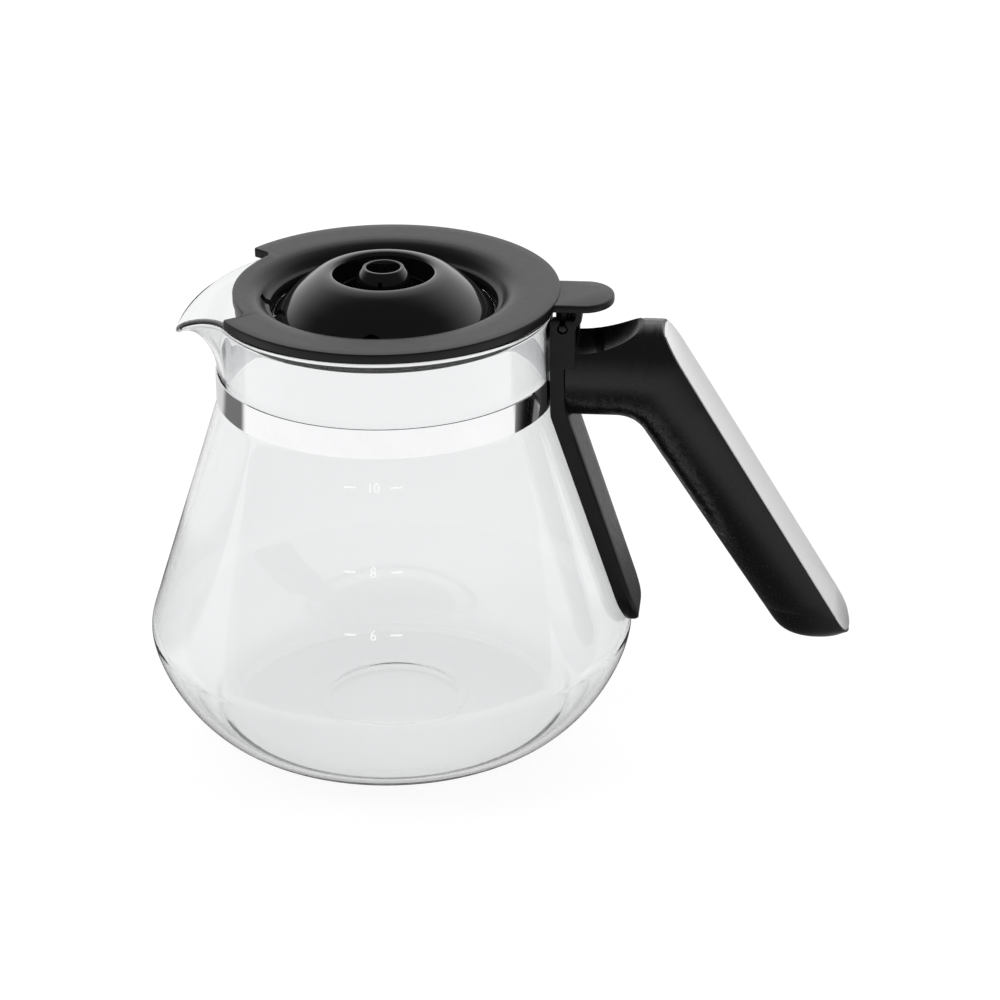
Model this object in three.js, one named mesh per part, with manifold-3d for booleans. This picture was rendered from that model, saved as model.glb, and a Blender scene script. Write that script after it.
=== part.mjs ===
// Glass jug of a filter coffee machine: blown glass body with a pouring lip, a steel neck band that
// clamps the handle spine, a hollow moulded handle with a steel inlay, and a hinged lid.
// Millimetres. +Z up, origin at the middle of the base, handle toward +X, pouring lip toward -X.
import * as THREE from 'three';
import { mergeVertices } from 'three/addons/utils/BufferGeometryUtils.js';
import Module from 'manifold-3d';

const wasm = await Module();
wasm.setup();

// ---------------------------------------------------------------- driving dimensions
const SEGMENTS = 48;          // sides of every round piece on the jug's axis
const SMALL_SEGMENTS = 16;    // sides of screws and pins
const GAP = 0.3;              // clearance between pieces that touch
const degrees = (angle) => (angle * Math.PI) / 180;

const JUG = {
  baseRadius: 51, maxRadius: 74, maxHeight: 31, bellyPower: 1.5,
  shoulderBend: 12, coneAngle: degrees(17.8),
  neckRadius: 50.2, rimRadius: 51.2, rimTop: 136.6, rimHeight: 2.8,
  wall: 2.2, floor: 3.2, floorRadius: 46.5,
};
const LIP = {                 // pouring lip, a sector of the neck drawn outward and down
  halfAngle: degrees(33), bottom: 116.2, reach: 63.1, tipHeight: 124.1,
  // centre section of the outer face, from the neck up and out to the tip
  section: [[50.2, 116.2], [51.4, 118.6], [53.6, 121.3], [57.4, 123.9], [63.1, 124.1]],
};
const BAND = {
  bottom: 106.8, top: 116, inner: 50.6, outer: 51.1, endAngle: degrees(5),
  earOffset: 4, earThickness: 0.6, earBottom: 108.6, earTop: 112.2, earReach: 63, hook: 1.8,
};
const PIN = { x: 54, z: 132.3, radius: 1.2, bore: 1.55 };
const SPINE = {
  halfWidth: 11, backFace: 57.7, top: 134.9, plateBottom: 96.5, cheek: 3.3, clearance: 0.4,
  strapThickness: 3.3, strapEnd: 34.5, channelRadius: 8.3, slotWidth: 1.9,
};
const PAD = { bottom: 41, top: 57, halfWidth: 8, thickness: 1 };
const HANDLE = {
  start: 58, armBottom: 101.3, armTop: 130.9, armHalfWidth: 11, gripHalfWidth: 11.8,
  innerAngle: degrees(32.8), innerPoint: [86.4, 83.3], innerFillet: 10, barDepth: 30.4,
  backAngle: degrees(30.7), backPoint: [119.2, 69.5], wall: 2.4, coverDepth: 1.3,
  fanHeight: 41.3,
};
const SCOOP = { x: 57, z: 146.2, radius: 23.7, pocketRadius: 17.6, pocketHalfWidth: 8.8, wall: 2 };
const INLAY = { margin: 1, recess: 1.1, thickness: 0.6, tape: 0.15 };
const LID = {
  radius: 52.4, bottom: 137.1, top: 139.9, flat: 40.5, throat: 34, throatBottom: 131.6,
  flangeOuter: 44.4, flangeInner: 43.2, flangeBottom: 133.8,
  notchRadius: 44.9, notchHalfAngle: degrees(33.5),
};
const TAB = { halfWidth: 10.35, straight: 60, reach: 68.6, bottom: 137.3, top: 139.4 };
const LUG = { halfWidth: 7.3, left: 51.9, right: 59.4, bore: 1.5 };
const DOME = { flange: 35.2, bottom: 130, well: 14.8, wellFloor: 138.2, floorBottom: 136.6, stem: 4.9 };
const FLOW_PLATE = { radius: 35.2, top: 129.7, bottom: 128.1, bore: 6.5 };

// ---------------------------------------------------------------- materials
const material = (color, roughness, metalness = 0) =>
  new THREE.MeshStandardMaterial({ color, roughness, metalness });
const GLASS = new THREE.MeshStandardMaterial({
  color: 0xe9f0ef, roughness: 0.05, metalness: 0, transparent: true, opacity: 0.35,
});
const MIRROR_STEEL = () => material(0xd9dadc, 0.08, 1);
const BRUSHED_STEEL = () => material(0xcfcfce, 0.35, 1);
const SATIN_BLACK = () => material(0x161616, 0.42);
const GLOSS_BLACK = () => material(0x0b0b0c, 0.12);
const ZINC = () => material(0x9a9c9f, 0.35, 1);
const SILICONE = () => material(0x2a2a2b, 0.8);
const TAPE = () => material(0xe3e1da, 0.7);

// ---------------------------------------------------------------- solids
function asSolid(source) {
  const bare = source.clone();
  for (const name of Object.keys(bare.attributes)) if (name !== 'position') bare.deleteAttribute(name);
  const merged = mergeVertices(bare, 1e-4);
  const vertices = merged.getAttribute('position').array;
  const index = merged.getIndex().array;
  let triangles = [];
  for (let i = 0; i < index.length; i += 3) {
    const [a, b, c] = [index[i], index[i + 1], index[i + 2]];
    if (a !== b && b !== c && c !== a) triangles.push([a, b, c]);
  }
  const corner = (i) => new THREE.Vector3().fromArray(vertices, 3 * i);
  const volume = triangles.reduce(
    (sum, [a, b, c]) => sum + corner(a).dot(corner(b).cross(corner(c))), 0);
  if (volume < 0) triangles = triangles.map(([a, b, c]) => [a, c, b]);
  const mesh = new wasm.Mesh({
    numProp: 3, vertProperties: new Float32Array(vertices), triVerts: new Uint32Array(triangles.flat()),
  });
  return new wasm.Manifold(mesh);
}

function asGeometry(solid) {
  const mesh = solid.getMesh();
  const geometry = new THREE.BufferGeometry();
  geometry.setAttribute('position', new THREE.BufferAttribute(new Float32Array(mesh.vertProperties), 3));
  geometry.setIndex(new THREE.BufferAttribute(new Uint32Array(mesh.triVerts), 1));
  geometry.computeVertexNormals();
  return geometry;
}

// A closed [radius, height] outline turned round the Z axis.
function turned(outline, segments = SEGMENTS) {
  const points = outline.map(([radius, height]) => new THREE.Vector2(radius, height));
  const onAxis = outline[0][0] === 0 && outline.at(-1)[0] === 0;
  if (!onAxis) points.push(points[0].clone());
  return new THREE.LatheGeometry(points, segments).rotateX(Math.PI / 2);
}

// A side outline in X and Z, as thick as the Y range says.
function sideways(shape, yLow, yHigh, curveSegments = 12) {
  const depth = yHigh - yLow;
  return new THREE.ExtrudeGeometry(shape, { depth, bevelEnabled: false, curveSegments })
    .rotateX(Math.PI / 2).translate(0, yHigh, 0);
}

// A plan outline in X and Y, as thick as the Z range says.
function upright(shape, zLow, zHigh, curveSegments = 12) {
  return new THREE.ExtrudeGeometry(shape, { depth: zHigh - zLow, bevelEnabled: false, curveSegments })
    .translate(0, 0, zLow);
}

const polygon = (points) => new THREE.Shape(points.map(([x, y]) => new THREE.Vector2(x, y)));

function block([x0, x1], [y0, y1], [z0, z1]) {
  return new THREE.BoxGeometry(x1 - x0, y1 - y0, z1 - z0)
    .translate((x0 + x1) / 2, (y0 + y1) / 2, (z0 + z1) / 2);
}

function rodAlongY(radius, x, z, yLow, yHigh, segments = SMALL_SEGMENTS) {
  return new THREE.CylinderGeometry(radius, radius, yHigh - yLow, segments)
    .translate(x, (yLow + yHigh) / 2, z);
}

function rodAlongX(radius, y, z, xLow, xHigh, segments = SMALL_SEGMENTS) {
  return new THREE.CylinderGeometry(radius, radius, xHigh - xLow, segments)
    .rotateZ(Math.PI / 2).translate((xLow + xHigh) / 2, y, z);
}

// ---------------------------------------------------------------- jug
// Outer radius of the glass below the rim: a full belly, a soft shoulder, a cone and the neck.
function jugRadius(height) {
  const { baseRadius, maxRadius, maxHeight, bellyPower, shoulderBend, coneAngle, neckRadius } = JUG;
  if (height <= maxHeight) {
    const fall = Math.pow((maxHeight - height) / maxHeight, bellyPower);
    return baseRadius + (maxRadius - baseRadius) * Math.pow(1 - fall, 1 / bellyPower);
  }
  const bendTop = maxHeight + shoulderBend * Math.sin(coneAngle);
  if (height <= bendTop) {
    const rise = height - maxHeight;
    return maxRadius - shoulderBend + Math.sqrt(shoulderBend ** 2 - rise ** 2);
  }
  const bendRadius = maxRadius - shoulderBend * (1 - Math.cos(coneAngle));
  return Math.max(neckRadius, bendRadius - Math.tan(coneAngle) * (height - bendTop));
}

const BELLY_HEIGHTS = [0, 0.6, 2, 4.5, 8, 12.5, 18, 24, 31, 34.7];
const CONE_HEIGHTS = [58, 82, 107];
const NECK_HEIGHTS = [116.2, 119, 122, 125, 128, 131.5];

function jugOutline() {
  const { wall, floor, floorRadius, neckRadius, rimRadius, rimTop, rimHeight } = JUG;
  const outside = [...BELLY_HEIGHTS, ...CONE_HEIGHTS, ...NECK_HEIGHTS].map((z) => [jugRadius(z), z]);
  const rimFoot = rimTop - rimHeight;
  const insideRadius = neckRadius - wall;
  const rim = [
    [neckRadius, rimFoot - 0.6], [rimRadius, rimFoot + 0.5], [rimRadius, rimTop - 0.8],
    [rimRadius - 0.9, rimTop], [insideRadius + 0.6, rimTop], [insideRadius, rimTop - 0.9],
  ];
  const inside = [...BELLY_HEIGHTS.filter((z) => z > 4), ...CONE_HEIGHTS, ...NECK_HEIGHTS]
    .map((z) => [jugRadius(z) - wall, z < JUG.maxHeight ? Math.max(z, floor + 0.12 * z) : z])
    .filter(([, z]) => z > floor + 1.2).reverse();
  return [[0, 0], ...outside, ...rim, ...inside, [floorRadius, floor], [0, floor]];
}

const lipSection = new THREE.SplineCurve(LIP.section.map(([r, z]) => new THREE.Vector2(r, z)));

// Draws the lip's sector of the neck outward. The push fades to nothing at the sector's sides.
function drawLip(geometry) {
  const position = geometry.getAttribute('position');
  for (let i = 0; i < position.count; i++) {
    const [x, y, z] = [position.getX(i), position.getY(i), position.getZ(i)];
    const turn = Math.atan2(y, -x) / LIP.halfAngle;
    if (Math.abs(turn) >= 1 || z <= LIP.bottom || Math.hypot(x, y) < 30) continue;
    const outward = Math.pow(1 - Math.pow(Math.abs(turn), 1.71), 2.33);
    const downward = Math.pow(1 - Math.pow(Math.abs(turn), 1.27), 2.92);
    const along = (z - LIP.bottom) / (JUG.rimTop - LIP.bottom);
    const target = lipSection.getPoint(along);
    const tangent = lipSection.getTangent(along);
    const lean = outward * Math.atan2(tangent.x, tangent.y);
    const depth = JUG.neckRadius - Math.hypot(x, y);
    const radius = JUG.neckRadius + outward * (target.x - JUG.neckRadius) - depth * Math.cos(lean);
    const height = z + downward * (target.y - z) + depth * Math.sin(lean);
    const angle = Math.atan2(y, x);
    position.setXYZ(i, radius * Math.cos(angle), radius * Math.sin(angle), height);
  }
  return geometry;
}

// The jug's outer surface grown by a distance, used to keep the spine and its pad off the glass.
function grownJug(distance, bandClearance = 0) {
  const heights = [...BELLY_HEIGHTS.filter((z) => z > 4), ...CONE_HEIGHTS, 140];
  const side = heights.map((z) => [
    Math.max(jugRadius(z) + distance, z > 100 ? BAND.outer + bandClearance : 0), z,
  ]);
  return asSolid(turned([[0, 4], ...side, [0, 140]]));
}

// ---------------------------------------------------------------- neck band and its clamp
function neckBand() {
  const ring = asSolid(turned([
    [BAND.inner, BAND.bottom], [BAND.outer, BAND.bottom], [BAND.outer, BAND.top], [BAND.inner, BAND.top],
  ]));
  const opening = asSolid(block([40, 60], [-BAND.earOffset, BAND.earOffset], [BAND.bottom - 1, BAND.top + 1]));
  let band = ring.subtract(opening);
  const thickness = BAND.earThickness;
  for (const side of [-1, 1]) {
    const inner = side * BAND.earOffset;
    const outer = side * (BAND.earOffset + thickness);
    const ear = block([50.2, BAND.earReach], [Math.min(inner, outer), Math.max(inner, outer)],
      [BAND.earBottom, BAND.earTop]);
    const hookEnd = side * (BAND.earOffset + BAND.hook);
    const hook = block([BAND.earReach - thickness, BAND.earReach],
      [Math.min(inner, hookEnd), Math.max(inner, hookEnd)], [BAND.earBottom, BAND.earTop]);
    band = band.add(asSolid(ear)).add(asSolid(hook));
  }
  return asGeometry(band);
}

const CLAMP = { height: 110.4, screwRadius: 2, yoke: [60.8, 62.1], headStart: 66, headEnd: 69, headRadius: 3.5 };

function earSlots(xRange, margin) {
  return [-1, 1].map((side) => {
    const middle = side * (BAND.earOffset + BAND.earThickness / 2);
    const half = BAND.earThickness / 2 + margin;
    return asSolid(block(xRange, [middle - half, middle + half],
      [BAND.earBottom - margin, BAND.earTop + margin]));
  });
}

function bandYoke() {
  let yoke = asSolid(block(CLAMP.yoke, [-6, 6], [BAND.earBottom - 0.7, BAND.earTop + 0.7]));
  for (const slot of earSlots([60, 63], GAP)) yoke = yoke.subtract(slot);
  return asGeometry(yoke.subtract(asSolid(rodAlongX(CLAMP.screwRadius + GAP, 0, CLAMP.height, 60, 63))));
}

function socketScrew({ tip, headStart, headEnd, y, z, radius, headRadius, socket }) {
  const shank = asSolid(rodAlongX(radius, y, z, tip, headStart + 0.5));
  const head = asSolid(rodAlongX(headRadius, y, z, headStart, headEnd));
  const recess = asSolid(rodAlongX(socket, y, z, headEnd - 1.4, headEnd + 1, 6));
  return asGeometry(shank.add(head).subtract(recess));
}

const SHELL_SCREW = {
  z: 105.8, radius: 1.2, headRadius: 1.8, tip: 53.2, headStart: 61.3, headEnd: 63.1, socket: 0.9,
};

// ---------------------------------------------------------------- spine
function strapPatch(inside, outside, outline) {
  return grownJug(outside).subtract(grownJug(inside)).intersect(asSolid(outline));
}

// Face-on outline of the strap (Y across, Z up) pushed out along X.
function strapOutline(halfWidth, end, top) {
  const shape = new THREE.Shape();
  shape.moveTo(-halfWidth, top).lineTo(-halfWidth, end + halfWidth);
  shape.absarc(0, end + halfWidth, halfWidth, Math.PI, 2 * Math.PI, false);
  shape.lineTo(halfWidth, top);
  return new THREE.ExtrudeGeometry(shape, { depth: 50, bevelEnabled: false, curveSegments: 10 })
    .applyMatrix4(new THREE.Matrix4().makeBasis(
      new THREE.Vector3(0, 1, 0), new THREE.Vector3(0, 0, 1), new THREE.Vector3(1, 0, 0)))
    .translate(40, 0, 0);
}

function handleSpine() {
  const { halfWidth, backFace, top, plateBottom, cheek, clearance, strapThickness, strapEnd } = SPINE;
  const plate = polygon([
    [40, plateBottom], [backFace - 1.2, plateBottom], [backFace, plateBottom + 4], [backFace, top],
    [51.4, top], [49.2, top - 2.4], [40, top - 2.4],
  ]);
  const strap = strapPatch(clearance, clearance + strapThickness,
    strapOutline(halfWidth, strapEnd, plateBottom + 3));
  let spine = asSolid(sideways(plate, -halfWidth, halfWidth))
    .subtract(grownJug(clearance, clearance)).add(strap);
  const inner = halfWidth - cheek;
  spine = spine.subtract(asSolid(rodAlongY(SPINE.channelRadius, PIN.x, PIN.z, -inner, inner, 32)));
  spine = spine.subtract(asSolid(block([40, 60], [-inner, inner], [PIN.z, top + 1])));
  spine = spine.subtract(asSolid(rodAlongY(PIN.bore, PIN.x, PIN.z, -20, 20)));
  const half = SPINE.slotWidth / 2;
  spine = spine.subtract(asSolid(block([PIN.x - half, PIN.x + half], [-20, 20], [PIN.z, top + 1])));
  for (const slot of earSlots([40, 60], GAP)) spine = spine.subtract(slot);
  spine = spine.subtract(asSolid(rodAlongX(SHELL_SCREW.radius + GAP, 0, SHELL_SCREW.z, 52.8, 60)));
  const recess = strapPatch(0, clearance + PAD.thickness + GAP,
    block([40, 90], [-PAD.halfWidth - GAP, PAD.halfWidth + GAP], [PAD.bottom - GAP, PAD.top + GAP]));
  return asGeometry(spine.subtract(recess));
}

function strapPad() {
  const { bottom, top, halfWidth, thickness } = PAD;
  return asGeometry(strapPatch(SPINE.clearance, SPINE.clearance + thickness,
    block([40, 90], [-halfWidth, halfWidth], [bottom, top])));
}

// ---------------------------------------------------------------- handle bar
// Closed skin through a row of equal rings, with flat ends.
function skinned(rings) {
  const count = rings[0].length;
  const vertices = rings.flat();
  const centre = (ring) => ring.reduce((sum, p) => sum.add(p), new THREE.Vector3())
    .divideScalar(count);
  const start = vertices.push(centre(rings[0])) - 1;
  const end = vertices.push(centre(rings.at(-1))) - 1;
  const faces = [];
  for (let j = 0; j < count; j++) {
    const k = (j + 1) % count;
    for (let i = 0; i < rings.length - 1; i++) {
      const [a, b] = [i * count, (i + 1) * count];
      faces.push(a + j, b + j, b + k, a + j, b + k, a + k);
    }
    const last = (rings.length - 1) * count;
    faces.push(start, j, k, end, last + k, last + j);
  }
  const geometry = new THREE.BufferGeometry().setFromPoints(vertices);
  geometry.setIndex(faces);
  return geometry;
}

// The bar is a bent oval tube: stations hold the inner and outer edge points and the half width.
function barStations(inset) {
  const { start, armBottom, armTop, armHalfWidth, gripHalfWidth, innerAngle, innerPoint } = HANDLE;
  const { innerFillet, barDepth, fanHeight } = HANDLE;
  const across = new THREE.Vector2(Math.cos(innerAngle), Math.sin(innerAngle));
  const along = new THREE.Vector2(Math.sin(innerAngle), -Math.cos(innerAngle));
  const lineOffset = across.x * innerPoint[0] + across.y * innerPoint[1];
  const pivotZ = armBottom - innerFillet;
  const pivot = new THREE.Vector2((lineOffset - innerFillet - across.y * pivotZ) / across.x, pivotZ);
  const stations = [];
  const add = (inner, outer, halfWidth, ray) => stations.push({
    inner: inner.clone().addScaledVector(ray, inset),
    outer: outer.clone().addScaledVector(ray, -inset), halfWidth: halfWidth - inset,
  });
  const up = new THREE.Vector2(0, 1);
  add(new THREE.Vector2(start, armBottom), new THREE.Vector2(start, armTop), armHalfWidth, up);
  const bend = Math.PI / 2 - innerAngle;
  const fanSteps = 7;
  for (let i = 0; i <= fanSteps; i++) {
    const angle = (bend * i) / fanSteps;
    const ray = new THREE.Vector2(Math.sin(angle), Math.cos(angle));
    const toTop = (armTop - pivotZ) / Math.cos(angle);
    const toBack = (innerFillet + barDepth) / Math.cos(bend - angle);
    const length = Math.pow(toTop ** -40 + toBack ** -40, -1 / 40);
    const halfWidth = armHalfWidth + ((gripHalfWidth - armHalfWidth) * i) / fanSteps;
    add(pivot.clone().addScaledVector(ray, innerFillet), pivot.clone().addScaledVector(ray, length),
      halfWidth, ray);
  }
  const gripStart = pivot.clone().addScaledVector(across, innerFillet);
  const swing = 23;
  const gripEndZ = fanHeight + swing * across.y;
  const gripLength = (gripStart.y - gripEndZ) / -along.y;
  const gripEnd = gripStart.clone().addScaledVector(along, gripLength);
  const lowPivot = gripEnd.clone().addScaledVector(across, -swing);
  for (const part of [0.5, 1]) {
    const inner = gripStart.clone().addScaledVector(along, gripLength * part);
    add(inner, inner.clone().addScaledVector(across, barDepth), gripHalfWidth - 0.2 * part, across);
  }
  for (const part of [0.5, 1]) {
    const turn = innerAngle * part;
    const ray = new THREE.Vector2(Math.cos(innerAngle - turn), Math.sin(innerAngle - turn));
    add(lowPivot.clone().addScaledVector(ray, swing / Math.cos(turn)),
      lowPivot.clone().addScaledVector(ray, (swing + barDepth) / Math.cos(turn)),
      gripHalfWidth - 0.2, ray);
  }
  // rounded end, [height, inner x, outer x, half width]
  const level = new THREE.Vector2(1, 0);
  const endRings = [[38.3, 115.4, 153, 11.2], [35.6, 117.2, 150, 10.3], [33.6, 118.9, 145, 8.9],
    [32.1, 121.1, 141, 7.1], [31, 124.4, 138.6, 4.8], [30.4, 128.4, 135.6, 2.2]];
  for (const [height, innerX, outerX, halfWidth] of endRings) {
    if (halfWidth - inset < 0.5) continue;
    const z = height + inset;
    add(new THREE.Vector2(innerX, z), new THREE.Vector2(outerX, z), halfWidth, level);
  }
  return stations;
}

function handleBar(inset = 0, sides = 28) {
  const rings = barStations(inset).map(({ inner, outer, halfWidth }) => {
    const middle = inner.clone().add(outer).multiplyScalar(0.5);
    const reach = outer.clone().sub(middle);
    return Array.from({ length: sides }, (_, j) => {
      const angle = (2 * Math.PI * j) / sides;
      const point = middle.clone().addScaledVector(reach, Math.cos(angle));
      return new THREE.Vector3(point.x, halfWidth * Math.sin(angle), point.y);
    });
  });
  return asSolid(skinned(rings));
}

// Slab that follows the handle's flat back, from one depth under it to another.
const BACK_NORMAL = new THREE.Vector3(Math.cos(HANDLE.backAngle), 0, Math.sin(HANDLE.backAngle));
function backSlab(shallow, deep) {
  const thickness = deep - shallow;
  return asSolid(new THREE.BoxGeometry(thickness, 60, 220)
    .translate(-shallow - thickness / 2, 0, 0)
    .applyMatrix4(new THREE.Matrix4().makeBasis(
      BACK_NORMAL, new THREE.Vector3(0, 1, 0),
      new THREE.Vector3(-BACK_NORMAL.z, 0, BACK_NORMAL.x)))
    .translate(HANDLE.backPoint[0], 0, HANDLE.backPoint[1]));
}

// Rod square to the flat back, at a distance along the grip from its reference point.
function rodIntoBack(radius, along, shallow, deep, segments = SMALL_SEGMENTS) {
  const alongBack = new THREE.Vector3(-BACK_NORMAL.z, 0, BACK_NORMAL.x);
  return asSolid(new THREE.CylinderGeometry(radius, radius, deep - shallow, segments)
    .translate(0, -(shallow + deep) / 2, 0)
    .applyMatrix4(new THREE.Matrix4().makeBasis(alongBack, BACK_NORMAL, new THREE.Vector3(0, 1, 0)))
    .translate(HANDLE.backPoint[0] - along * alongBack.x, 0,
      HANDLE.backPoint[1] - along * alongBack.z));
}

const COVER_SCREW = { radius: 1, head: 2, headTop: 1.3, headBottom: 2.5, tip: 11, boss: 3, bossTop: 3.9 };
const COVER_SCREWS = { upper: -45, lower: 22 };   // distances along the grip

function coverScrew(along) {
  const { radius, head, headTop, headBottom, tip } = COVER_SCREW;
  return asGeometry(rodIntoBack(head, along, headTop, headBottom)
    .add(rodIntoBack(radius, along, headTop + 0.6, tip))
    .subtract(rodIntoBack(0.7, along, 0, headTop + 0.7, 6)));
}

function tabPocket(radius, halfWidth) {
  return asSolid(rodAlongY(radius, PIN.x, PIN.z, -halfWidth, halfWidth, 40));
}

function handleShell() {
  const { start, wall, coverDepth } = HANDLE;
  const scoop = asSolid(rodAlongY(SCOOP.radius, SCOOP.x, SCOOP.z, -20, 20, 56));
  const endWall = asSolid(block([start - 5, start + 2.5], [-20, 20], [90, 140]));
  const hollow = handleBar(wall, 24).subtract(endWall)
    .subtract(tabPocket(SCOOP.pocketRadius + SCOOP.wall, SCOOP.pocketHalfWidth + SCOOP.wall))
    .subtract(asSolid(rodAlongY(SCOOP.radius + SCOOP.wall, SCOOP.x, SCOOP.z, -20, 20, 56)));
  const window = asSolid(block([start - 1, start + 4], [-7.3, 7.3], [BAND.earBottom - 1.5, BAND.earTop + 0.8]));
  const screwHole = asSolid(rodAlongX(SHELL_SCREW.radius + GAP, 0, SHELL_SCREW.z, start - 1, start + 4));
  let shell = handleBar().subtract(backSlab(-60, coverDepth + GAP / 2)).subtract(hollow);
  for (const along of Object.values(COVER_SCREWS)) {
    const { radius, tip, boss, bossTop } = COVER_SCREW;
    shell = shell.add(rodIntoBack(boss, along, bossTop, 30).intersect(handleBar()))
      .subtract(rodIntoBack(radius + GAP, along, 0, tip + 1));
  }
  return asGeometry(shell
    .subtract(tabPocket(SCOOP.pocketRadius, SCOOP.pocketHalfWidth))
    .subtract(scoop).subtract(window).subtract(screwHole));
}

function handleCover() {
  const slab = handleBar().intersect(backSlab(0, HANDLE.coverDepth - GAP / 2));
  const plug = handleBar(HANDLE.wall + GAP, 24).intersect(backSlab(0.5, 3.6))
    .subtract(tabPocket(SCOOP.pocketRadius + SCOOP.wall + GAP, SCOOP.pocketHalfWidth + SCOOP.wall + GAP))
    .subtract(asSolid(rodAlongY(SCOOP.radius + SCOOP.wall + GAP, SCOOP.x, SCOOP.z, -20, 20, 56)));
  const recess = handleBar(INLAY.margin, 28).intersect(backSlab(-5, INLAY.recess));
  let cover = slab.add(plug).subtract(recess);
  for (const along of Object.values(COVER_SCREWS)) {
    cover = cover.subtract(rodIntoBack(COVER_SCREW.head + GAP, along, 0, COVER_SCREW.headBottom + GAP))
      .subtract(rodIntoBack(COVER_SCREW.radius + GAP, along, 0, 5));
  }
  return asGeometry(cover);
}

function inlayLayer(shallow, deep) {
  return asGeometry(handleBar(INLAY.margin + GAP, 28).intersect(backSlab(shallow, deep)));
}

// ---------------------------------------------------------------- lid
function lidRing() {
  const { radius, bottom, top, flat, throat, throatBottom } = LID;
  const { flangeOuter, flangeInner, flangeBottom, notchRadius, notchHalfAngle } = LID;
  const body = asSolid(turned([
    [radius, bottom], [radius, top - 0.6], [radius - 0.5, top - 0.1], [46, top], [flat, top - 0.2],
    [38.3, 139.1], [36.8, 137.8], [35.9, 136.3], [35.2, 135.5], [throat, 135.2],
    [throat, throatBottom], [35.7, throatBottom], [36.4, 134], [38, 136.2], [39.6, bottom],
    [flangeInner, bottom], [flangeInner, flangeBottom], [flangeOuter, flangeBottom],
    [flangeOuter, bottom],
  ]));
  const tab = new THREE.Shape();
  tab.moveTo(44, -TAB.halfWidth).lineTo(TAB.straight, -TAB.halfWidth);
  tab.absellipse(TAB.straight, 0, TAB.reach - TAB.straight, TAB.halfWidth, -Math.PI / 2, Math.PI / 2);
  tab.lineTo(44, TAB.halfWidth);
  const lug = polygon([
    [LUG.left, PIN.z], [52.2, PIN.z - 1.1], [53, PIN.z - 1.85], [PIN.x, PIN.z - 2.1],
    [PIN.x + 1.4, PIN.z - 2.1], [57, PIN.z - 1.6], [LUG.right, PIN.z + 1], [LUG.right, TAB.bottom + 0.5],
    [LUG.left, TAB.bottom + 0.5],
  ]);
  const notch = new THREE.Shape();
  notch.absarc(0, 0, 60, Math.PI - notchHalfAngle, Math.PI + notchHalfAngle, false);
  notch.absarc(0, 0, notchRadius, Math.PI + notchHalfAngle, Math.PI - notchHalfAngle, true);
  const vent = asSolid(block([-36.6, -32], [-4.3, 4.3], [130, 141]));
  return asGeometry(body
    .add(asSolid(upright(tab, TAB.bottom, TAB.top)))
    .add(asSolid(sideways(lug, -LUG.halfWidth, LUG.halfWidth)))
    .subtract(asSolid(rodAlongY(LUG.bore, PIN.x, PIN.z, -20, 20)))
    .subtract(asSolid(upright(notch, 130, 145)))
    .subtract(vent));
}

// Round-ended slot between two radii, centred on an angle.
function kidney(inner, outer, middle, halfAngle) {
  const shape = new THREE.Shape();
  shape.absarc(0, 0, outer, middle - halfAngle, middle + halfAngle, false);
  shape.absarc(0, 0, inner, middle + halfAngle, middle - halfAngle, true);
  return shape;
}

function lidDome() {
  const { flange, bottom, well, wellFloor, floorBottom, stem } = DOME;
  const floorY = bottom + 1.2;
  let dome = asSolid(turned([
    [stem, floorBottom], [stem, wellFloor], [well, wellFloor], [well + 0.1, 143.6], [15.4, 144.7],
    [16.5, 145.1], [18, 144.9], [20, 144.1], [22.7, 142.4], [24.9, 140.6], [27, 138.7], [29.2, 136.5],
    [31.1, 134], [32.1, floorY], [flange, floorY], [flange, bottom], [30.6, bottom], [29.8, 133],
    [28.2, 135], [26, 137.3], [23.6, 139.4], [21.2, 141.3], [19, 142.6], [17.4, 142.9],
    [well + 1.7, 141.8], [well + 1.7, floorBottom],
  ]));
  for (let i = 0; i < 4; i++) {
    const middle = Math.PI / 4 + (i * Math.PI) / 2;
    dome = dome.subtract(asSolid(upright(kidney(8.7, 13.9, middle, degrees(33)), 130, 140, 6)));
  }
  for (const side of [-1, 1]) {
    const [near, far] = [28.4, 33].map((y) => side * y);
    const window = block([-3.9, 3.9], [Math.min(near, far), Math.max(near, far)], [floorY + 0.4, 135.6]);
    dome = dome.subtract(asSolid(window));
  }
  return asGeometry(dome);
}

function dripStopPusher() {
  const outline = [
    [3.9, 133.4], [4.5, 133.4], [4.5, 138.5], [7.9, 138.5], [8.2, 140.6], [8.1, 142.3], [7.5, 144],
    [6.5, 145.6], [6.1, 146.3], [4.9, 146.3], [4.7, 145.2], [3.9, 141],
  ];
  const middle = asSolid(turned(outline, 24));
  const slot = asSolid(block([-0.7, 0.7], [-20, 20], [140.5, 144.6]));
  return asGeometry(middle.subtract(slot));
}

function lidFlowPlate() {
  const { radius, top, bottom, bore } = FLOW_PLATE;
  let plate = asSolid(turned([[bore, bottom], [radius, bottom], [radius, top], [bore, top]]));
  for (let i = 0; i < 8; i++) {
    const middle = (i * Math.PI) / 4;
    plate = plate.subtract(asSolid(upright(kidney(20, 26, middle, degrees(13)), 120, 135, 4)));
  }
  return asGeometry(plate);
}

// ---------------------------------------------------------------- assembly
const jug = new THREE.Group();
const place = (parent, name, geometry, look) => {
  const mesh = new THREE.Mesh(geometry, look);
  mesh.name = name;
  parent.add(mesh);
  return mesh;
};

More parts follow.
